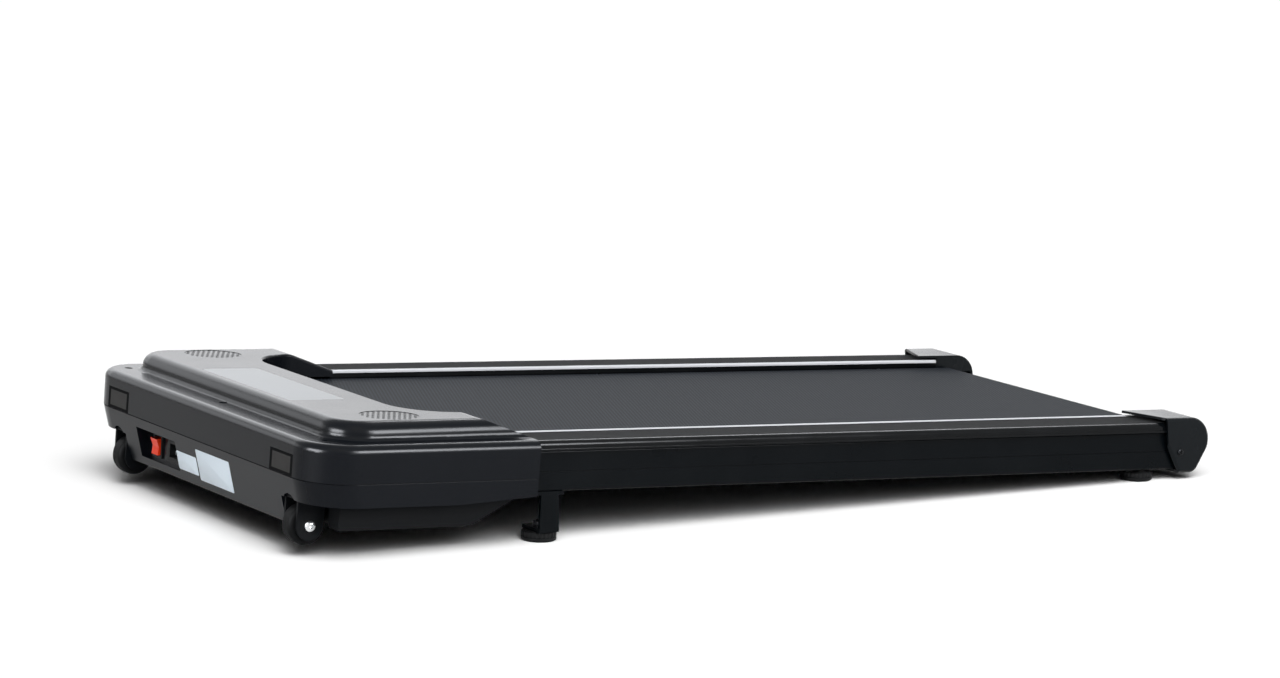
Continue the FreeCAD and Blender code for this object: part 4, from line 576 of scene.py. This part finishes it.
class WALKINGPAD_OT_controls(bpy.types.Operator):
    """Finish the display, the speakers and the power recess"""

    bl_idname = "walking_pad.controls"
    bl_label = "Display, speakers and power"

    def execute(self, context):
        colours = context.scene.walking_pad_colours
        sizes = context.scene.walking_pad_sizes
        dress(display_film("hard_coated_polycarbonate", colours.display), ["display_panel"])
        # Nylon, moulded matt: black with a faint speckle
        nylon = surface("moulded_nylon", colours.nylon, 0.5, sizes.spark_grain, 0.05 * MILLIMETRE, rub=0.3)
        dress(nylon, ["power_switch_body", "power_inlet"])
        # The grilles are the cover's plastic, with its satin sheen between their holes
        grille = surface("moulded_abs_grille", colours.housing, 0.24, sizes.spark_grain, 0.004 * MILLIMETRE,
                         rub=0.4)
        dress(grille, ["right_speaker_grille", "left_speaker_grille"])
        # Pressed paper cone: dull black
        cone = surface("pressed_paper_cone", colours.nylon, 0.8, 2 * MILLIMETRE, 0.15 * MILLIMETRE)
        dress(cone, ["right_speaker", "left_speaker"])
        # Polished polycarbonate rocker: clear orange-red with a glassy face
        rocker = surface("polished_polycarbonate_red", colours.rocker, 0.22, 3 * MILLIMETRE, 0.01 * MILLIMETRE,
                         drift=0.05, coat=0.1)
        dress(rocker, ["power_rocker"])
        # Tinned brass pins: bright and a little brushed
        pins = surface("tinned_brass", colours.zinc, 0.3, sizes.brush_width, 0.01 * MILLIMETRE,
                       stretch=(1, 0.05, 1), metallic=1.0)
        dress(pins, ["inlet_pins"])
        return {"FINISHED"}


class WALKINGPAD_OT_deck(bpy.types.Operator):
    """Finish the walking belt and what it runs on"""

    bl_idname = "walking_pad.deck"
    bl_label = "Belt and deck"

    def execute(self, context):
        colours = context.scene.walking_pad_colours
        sizes = context.scene.walking_pad_sizes
        dress(treaded_belt("calendered_vinyl_belt", colours.belt, sizes.tread_pitch), ["walking_belt"])
        # Phenolic-faced fibreboard: dark brown, smooth, with a faint long fibre
        board = surface("phenolic_faced_fibreboard", colours.fibreboard, 0.45, 2 * MILLIMETRE,
                        0.05 * MILLIMETRE, stretch=(1, 0.1, 1), drift=0.2)
        dress(board, ["deck_board"])
        # Ground steel: bright, with turning marks round it
        steel = surface("ground_steel", colours.steel, 0.3, sizes.brush_width, 0.01 * MILLIMETRE,
                        stretch=(1, 0.08, 0.08), metallic=1.0)
        dress(steel, ["front_roller", "rear_roller", "front_roller_axle", "rear_roller_axle",
                      "front_roller_bearings", "rear_roller_bearings", "tension_bolts", "motor_shaft",
                      "deck_screws"])
        return {"FINISHED"}


class WALKINGPAD_OT_rails(bpy.types.Operator):
    """Finish the foot rails, trim strips, side frames and legs"""

    bl_idname = "walking_pad.rails"
    bl_label = "Rails and frames"

    def execute(self, context):
        colours = context.scene.walking_pad_colours
        sizes = context.scene.walking_pad_sizes
        dress(ribbed_extrusion("ribbed_extruded_pvc", colours.rail, sizes.rib_pitch),
              ["right_foot_rail", "left_foot_rail"])
        # Aluminium, blasted and clear anodised: the oxide scatters light, so it is an even silver grey
        trim = surface("blasted_anodised_aluminium", colours.trim, 0.45, sizes.brush_width, 0.001 * MILLIMETRE,
                       stretch=(1, 0.02, 1), drift=0.03)
        dress(trim, ["right_trim_strip", "left_trim_strip"])
        # Polyester powder coat on steel: black, smooth, with a slight ripple
        powder = surface("powder_coated_steel", colours.frame, 0.30, sizes.powder_grain, 0.04 * MILLIMETRE,
                         rub=0.4, specular=0.06)
        dress(powder, ["right_side_frame", "left_side_frame", "cross_members", "motor_cross_bar",
                       "right_front_leg", "left_front_leg"])
        return {"FINISHED"}


class WALKINGPAD_OT_rear_caps(bpy.types.Operator):
    """Finish the rear end caps and set their screws"""

    bl_idname = "walking_pad.rear_caps"
    bl_label = "Rear caps"

    def execute(self, context):
        colours = context.scene.walking_pad_colours
        sizes = context.scene.walking_pad_sizes
        # Moulded ABS, finer than the housing's: a soft sheen on top
        cap = surface("moulded_abs_cap", colours.cap, 0.24, sizes.spark_grain, 0.005 * MILLIMETRE, rub=0.4)
        dress(cap, ["right_rear_cap", "left_rear_cap"])
        # Black-oxide steel: dark, with a dim metal shine
        oxide = surface("black_oxide_steel", colours.oxide, 0.32, sizes.brush_width, 0.01 * MILLIMETRE,
                        metallic=0.6)
        height = 2.0 * MILLIMETRE
        parts = []
        for low, high in clusters("rear_cap_screws", 0.1):
            side = 1 if low.x > 0 else -1
            outer = high.x if side > 0 else low.x
            place = DECK @ Vector((outer, (low.y + high.y) / 2, (low.z + high.z) / 2))
            head = (high.y - low.y) / 2
            turn = facing((side, 0, 0), place - Vector((side * height, 0, 0)))
            parts.append((cross_head(head, height, sizes.cross_slot), turn))
            parts.append((shank(head / 2, -(high.x - low.x) + height, 0.0), turn))
        made = merged("rear_cap_cross_screws", parts)
        fit(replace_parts(made, "rear_cap_screws"), "frame", oxide)
        return {"FINISHED"}


class WALKINGPAD_OT_cover_screws(bpy.types.Operator):
    """Set cross-head screws in the cover's recesses"""

    bl_idname = "walking_pad.cover_screws"
    bl_label = "Cover screws"

    def execute(self, context):
        colours = context.scene.walking_pad_colours
        sizes = context.scene.walking_pad_sizes
        # Black-oxide steel, dulled by oil: nearly black in its recess
        oxide = surface("black_oxide_screws", colours.nylon, 0.45, sizes.brush_width, 0.01 * MILLIMETRE,
                        specular=0.05)
        # The two at the rear stand on the rim with taller heads, the others lie in their recesses
        tall, short = 4.0 * MILLIMETRE, 2.2 * MILLIMETRE
        low, high = deck_box("cover_screws")
        middle = (low.y + high.y) / 2
        parts = []
        for low, high in clusters("cover_screws", 0.06):
            head = (high.x - low.x) / 2
            height = tall if (low.y + high.y) / 2 > middle else short
            seat = Vector(((low.x + high.x) / 2, (low.y + high.y) / 2, high.z - height))
            turn = Matrix.Translation(DECK @ seat) @ DECK
            parts.append((cross_head(head, height, sizes.cross_slot), turn))
            parts.append((shank(head / 2, low.z - seat.z, 0.0), turn))
        fit(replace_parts(merged("cover_cross_screws", parts), "cover_screws"), "frame", oxide)
        return {"FINISHED"}


class WALKINGPAD_OT_wheels(bpy.types.Operator):
    """Finish the transport wheels and set their button-head bolts"""

    bl_idname = "walking_pad.wheels"
    bl_label = "Transport wheels"

    def execute(self, context):
        colours = context.scene.walking_pad_colours
        sizes = context.scene.walking_pad_sizes
        # Moulded rubber: dull black, dusty on the tread
        rubber = surface("moulded_rubber_tyre", colours.rubber, 0.6, sizes.rubber_grain, 0.1 * MILLIMETRE,
                         drift=0.2, specular=0.05)
        dress(rubber, ["right_wheel_tyre", "left_wheel_tyre"])
        # Moulded nylon: black, a little smoother than the tyre round it
        hub = surface("moulded_nylon_hub", colours.pan, 0.45, sizes.spark_grain, 0.05 * MILLIMETRE)
        dress(hub, ["right_wheel_hub", "left_wheel_hub"])
        # Zinc-plated steel: bright, blue-white, almost polished
        zinc = surface("zinc_plated_steel", colours.zinc, 0.22, sizes.brush_width, 0.006 * MILLIMETRE,
                       metallic=1.0, drift=0.05)
        height = 4.5 * MILLIMETRE
        shank_radius = 3 * MILLIMETRE
        parts = []
        for low, high in clusters("wheel_bolts", 0.1):
            side = 1 if low.x > 0 else -1
            radius = (high.y - low.y) / 2
            outer = high.x if side > 0 else low.x
            place = DECK @ Vector((outer - side * height, (low.y + high.y) / 2, (low.z + high.z) / 2))
            turn = facing((side, 0, 0), place)
            parts.append((button_head(radius, height, sizes.hex_key), turn))
            parts.append((shank(shank_radius, height - (high.x - low.x), 0.0), turn))
        fit(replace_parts(merged("wheel_button_bolts", parts), "wheel_bolts"), "frame", zinc)
        return {"FINISHED"}


class WALKINGPAD_OT_feet(bpy.types.Operator):
    """Put knurled levelling feet in place and lock the front ones with nuts on the legs"""

    bl_idname = "walking_pad.feet"
    bl_label = "Levelling feet"

    def execute(self, context):
        colours = context.scene.walking_pad_colours
        sizes = context.scene.walking_pad_sizes
        # Moulded rubber: black, matt, with a fine pebble
        rubber = surface("moulded_rubber_foot", colours.rubber, 0.52, sizes.rubber_grain, 0.08 * MILLIMETRE,
                         rub=0.3)
        dress(rubber, ["deck_cushions", "drive_belt"])
        for name in ("right_front_foot", "left_front_foot", "right_rear_foot", "left_rear_foot"):
            made = merged(f"{name}_knurled", [self.foot(name, sizes)])
            fit(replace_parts(made, name), name, rubber)
        # Black-oxide steel: dark, with a dim metal shine on its flats
        oxide = surface("black_oxide_nuts", colours.oxide, 0.34, sizes.brush_width, 0.008 * MILLIMETRE,
                        metallic=0.6)
        dress(oxide, ["leg_screws"])
        leg_plate = 4 * MILLIMETRE
        parts = []
        for side in ("right", "left"):
            low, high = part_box(f"{side}_front_foot")
            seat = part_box(f"{side}_front_leg")[0].z + leg_plate
            place = Matrix.Translation(((low.x + high.x) / 2, (low.y + high.y) / 2, seat))
            parts.append((self.nut(sizes), place))
        fit(merged("front_foot_lock_nuts", parts), "frame", oxide)
        return {"FINISHED"}

    @staticmethod
    def foot(node, sizes):
        """A foot's puck with a knurled rim and its stud, and the placement of its middle on the floor."""
        low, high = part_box(node)
        middle = Vector(((low.x + high.x) / 2, (low.y + high.y) / 2, low.z))
        places = [vertex.co - middle for vertex in nodes[node].data.vertices]
        radius = max(place.xy.length for place in places)
        height = max(place.z for place in places if place.xy.length > radius * 0.7)
        stud = max(place.xy.length for place in places if place.z > (height + high.z - low.z) / 2)
        knurls = round(math.tau * radius / sizes.knurl_pitch)

        def knurled(angle):
            return radius - sizes.knurl_depth * (0.5 + 0.5 * math.cos(knurls * angle)) ** 2
        edge = sizes.knurl_depth
        rings = [(round_at(radius - 2 * edge), 0.0), (round_at(radius - edge / 2), edge),
                 (round_at(radius), 2 * edge), (round_at(radius), height * 0.36),
                 (round_at(radius - edge), height * 0.42), (knurled, height * 0.48),
                 (knurled, height - 1.5 * edge),
                 (round_at(radius - 2 * edge), height), (round_at(stud), height),
                 (round_at(stud), high.z - low.z - edge), (round_at(stud - edge), high.z - low.z)]
        return lathe(rings, knurls * 6), Matrix.Translation(middle)

    @staticmethod
    def nut(sizes):
        """A hex nut with rounded ends and an open bore, its seat at zero."""
        bore = 4.35 * MILLIMETRE
        height = sizes.nut_height
        flats = sizes.nut_width
        bevel = 0.5 * MILLIMETRE
        mesh = lathe([(round_at(bore), 0.0), (round_at(flats / 2), 0.0), (hex_at(flats), bevel),
                      (hex_at(flats), height - bevel), (round_at(flats / 2), height), (round_at(bore), height),
                      (round_at(bore), 0.0)])
        caps = [face for face in mesh.faces if len(face.verts) > 4]
        bmesh.ops.delete(mesh, geom=caps, context="FACES_ONLY")
        bmesh.ops.remove_doubles(mesh, verts=mesh.verts, dist=0.001 * MILLIMETRE)
        bmesh.ops.recalc_face_normals(mesh, faces=mesh.faces)
        return mesh


class WALKINGPAD_OT_drive(bpy.types.Operator):
    """Finish the motor, its drive and the electronics inside the housing"""

    bl_idname = "walking_pad.drive"
    bl_label = "Motor and electronics"

    def execute(self, context):
        colours = context.scene.walking_pad_colours
        sizes = context.scene.walking_pad_sizes
        # Cast and machined metal: grey, grainy, dull
        cast = surface("machined_cast_iron", colours.iron, 0.45, 1.2 * MILLIMETRE, 0.08 * MILLIMETRE,
                       metallic=0.9, rub=0.3)
        dress(cast, ["motor_body", "motor_flywheel", "roller_pulley", "motor_cradle"])
        # Extruded aluminium: bright, with die lines along the fins
        fins = surface("extruded_aluminium", colours.steel, 0.35, sizes.brush_width, 0.01 * MILLIMETRE,
                       stretch=(1, 0.03, 1), metallic=1.0)
        dress(fins, ["heat_sink"])
        # Laminate under green solder mask: glossy and a little cloudy
        mask = surface("solder_masked_laminate", colours.board, 0.35, 5 * MILLIMETRE, 0.05 * MILLIMETRE,
                       drift=0.25)
        dress(mask, ["control_board"])
        return {"FINISHED"}


class WALKINGPAD_OT_stage(bpy.types.Operator):
    """Set the white floor, the soft lights and the camera"""

    bl_idname = "walking_pad.stage"
    bl_label = "Studio stage"

    # Softboxes that shine on glossy faces only: name, place, the point they face, width and height in metres,
    # and power in watts. The strip and the one at the corner draw the streaks along rounded edges, the wall
    # behind and the bank on the left lift the tops, the one in front lifts the casing's front, and the last
    # one draws the line along the near rail.
    DAYLIGHT = (0.94, 0.96, 1.0)
    SOFTBOXES = (
        ("right_strip_softbox", (2.5, 0.82, 1.0), (0.2, -0.45, 0.1), 0.8, 1.1, 138.0),
        ("corner_softbox", (0.55, -3.1, 0.9), (0.2, -0.6, 0.1), 1.7, 1.0, 262.0),
        ("rear_wall_softbox", (-4.2, 2.9, 1.0), (0.0, 0.0, 0.1), 7.0, 2.6, 48.0),
        ("left_bank_softbox", (-3.4, 0.3, 2.0), (0.0, -0.4, 0.1), 2.6, 1.8, 34.0),
        ("front_left_softbox", (-2.8, -2.0, 1.1), (0.0, -0.5, 0.1), 2.8, 1.2, 26.0),
        ("rail_line_softbox", (-1.2, 1.83, 2.05), (0.25, 0.15, 0.1), 1.8, 0.4, 30.0),
    )

    def execute(self, context):
        self.floor(context.scene.walking_pad_colours.floor)
        self.world(context.scene)
        for name, place, target, width, height, power in self.SOFTBOXES:
            lamp = bpy.data.lights.new(name, "AREA")
            lamp.shape = "RECTANGLE"
            lamp.size = width
            lamp.size_y = height
            lamp.energy = power
            lamp.color = self.DAYLIGHT
            holder = bpy.data.objects.new(name, lamp)
            holder.matrix_world = facing(Vector(place) - Vector(target), Vector(place))
            holder.visible_diffuse = False
            holder.visible_camera = False
            context.scene.collection.objects.link(holder)
        self.camera(context.scene)
        context.scene.view_settings.view_transform = "Standard"
        return {"FINISHED"}

    @staticmethod
    def floor(rgb):
        """A wide pale floor that keeps the shadow and fades into the white backdrop."""
        mesh = bmesh.new()
        bmesh.ops.create_grid(mesh, x_segments=1, y_segments=1, size=40.0)
        floor = merged("studio_floor", [(mesh, Matrix.Identity(4))])
        material = bpy.data.materials.new("matt_white_paper")
        material.use_nodes = True
        tree = material.node_tree
        tree.nodes.clear()
        paper = add(tree, "ShaderNodeBsdfDiffuse", {"Color": rgba(rgb)})
        add(tree, "ShaderNodeOutputMaterial", {"Surface": paper.outputs["BSDF"]})
        floor.data.materials.append(material)

    @staticmethod
    def world(scene):
        """A white backdrop to the eye and in reflections, and a soft light from above on everything else."""
        world = bpy.data.worlds.new("white_studio")
        scene.world = world
        world.use_nodes = True
        tree = world.node_tree
        tree.nodes.clear()
        path = add(tree, "ShaderNodeLightPath")
        seen = reckon(tree, "MAXIMUM", path.outputs["Is Camera Ray"], path.outputs["Is Glossy Ray"])
        seen = reckon(tree, "MAXIMUM", seen, path.outputs["Is Transmission Ray"])
        ray = add(tree, "ShaderNodeTexCoord").outputs["Generated"]
        aim = Vector((0.61, -0.2, 0.77)).normalized()
        tightness, brightness = 14.0, 11.2
        lobe = reckon(tree, "POWER", reckon(tree, "MAXIMUM", dot(tree, ray, aim), 0.0), tightness)
        strength = remap(tree, seen, UNIT, (reckon(tree, "MULTIPLY", lobe, brightness), 1.0))
        sky = add(tree, "ShaderNodeBackground", {"Color": (1, 1, 1, 1), "Strength": strength})
        add(tree, "ShaderNodeOutputWorld", {"Surface": sky.outputs["Background"]})

    @staticmethod
    def camera(scene):
        """The photograph's view: a long lens from the front right, low over the floor, a little rolled."""
        azimuth = math.radians(56.837)
        elevation = math.radians(9.464)
        roll = math.radians(2.010)
        lens = bpy.data.cameras.new("photo_camera")
        lens.sensor_fit = "HORIZONTAL"
        lens.sensor_width = 36.0
        lens.lens = 118.15
        lens.clip_end = 100.0
        holder = bpy.data.objects.new("photo_camera", lens)
        back = Vector((math.sin(azimuth) * math.cos(elevation), -math.cos(azimuth) * math.cos(elevation),
                       math.sin(elevation)))
        right = Vector((0, 0, 1)).cross(back).normalized()
        up = back.cross(right)
        level = Matrix((right, up, back)).transposed()
        turned = level @ Matrix.Rotation(roll, 3, "Z")
        holder.matrix_world = Matrix.Translation((3.9596, -2.6235, 0.9522)) @ turned.to_4x4()
        scene.collection.objects.link(holder)
        scene.camera = holder


class WALKINGPAD_PT_looks(bpy.types.Panel):
    """Buttons, colours and sizes of the walking pad"""

    bl_idname = "WALKINGPAD_PT_looks"
    bl_label = "Walking pad"
    bl_space_type = "VIEW_3D"
    bl_region_type = "UI"
    bl_category = "Walking pad"

    def draw(self, context):
        for step in STEPS:
            self.layout.operator(step.bl_idname)
        for group in (context.scene.walking_pad_colours, context.scene.walking_pad_sizes):
            column = self.layout.column()
            for name in group.__annotations__:
                column.prop(group, name)


STEPS = (WALKINGPAD_OT_housing, WALKINGPAD_OT_blank_plates, WALKINGPAD_OT_controls, WALKINGPAD_OT_deck,
         WALKINGPAD_OT_rails, WALKINGPAD_OT_rear_caps, WALKINGPAD_OT_cover_screws, WALKINGPAD_OT_wheels,
         WALKINGPAD_OT_feet, WALKINGPAD_OT_drive, WALKINGPAD_OT_stage)
CLASSES = (WalkingPadColours, WalkingPadSizes) + STEPS + (WALKINGPAD_PT_looks,)


def register():
    for cls in CLASSES:
        bpy.utils.register_class(cls)
    bpy.types.Scene.walking_pad_colours = PointerProperty(type=WalkingPadColours)
    bpy.types.Scene.walking_pad_sizes = PointerProperty(type=WalkingPadSizes)


def unregister():
    del bpy.types.Scene.walking_pad_sizes
    del bpy.types.Scene.walking_pad_colours
    for cls in reversed(CLASSES):
        bpy.utils.unregister_class(cls)


def main():
    register()
    for step in STEPS:
        group, name = step.bl_idname.split(".")
        getattr(getattr(bpy.ops, group), name)()


if __name__ == "__main__":
    main()
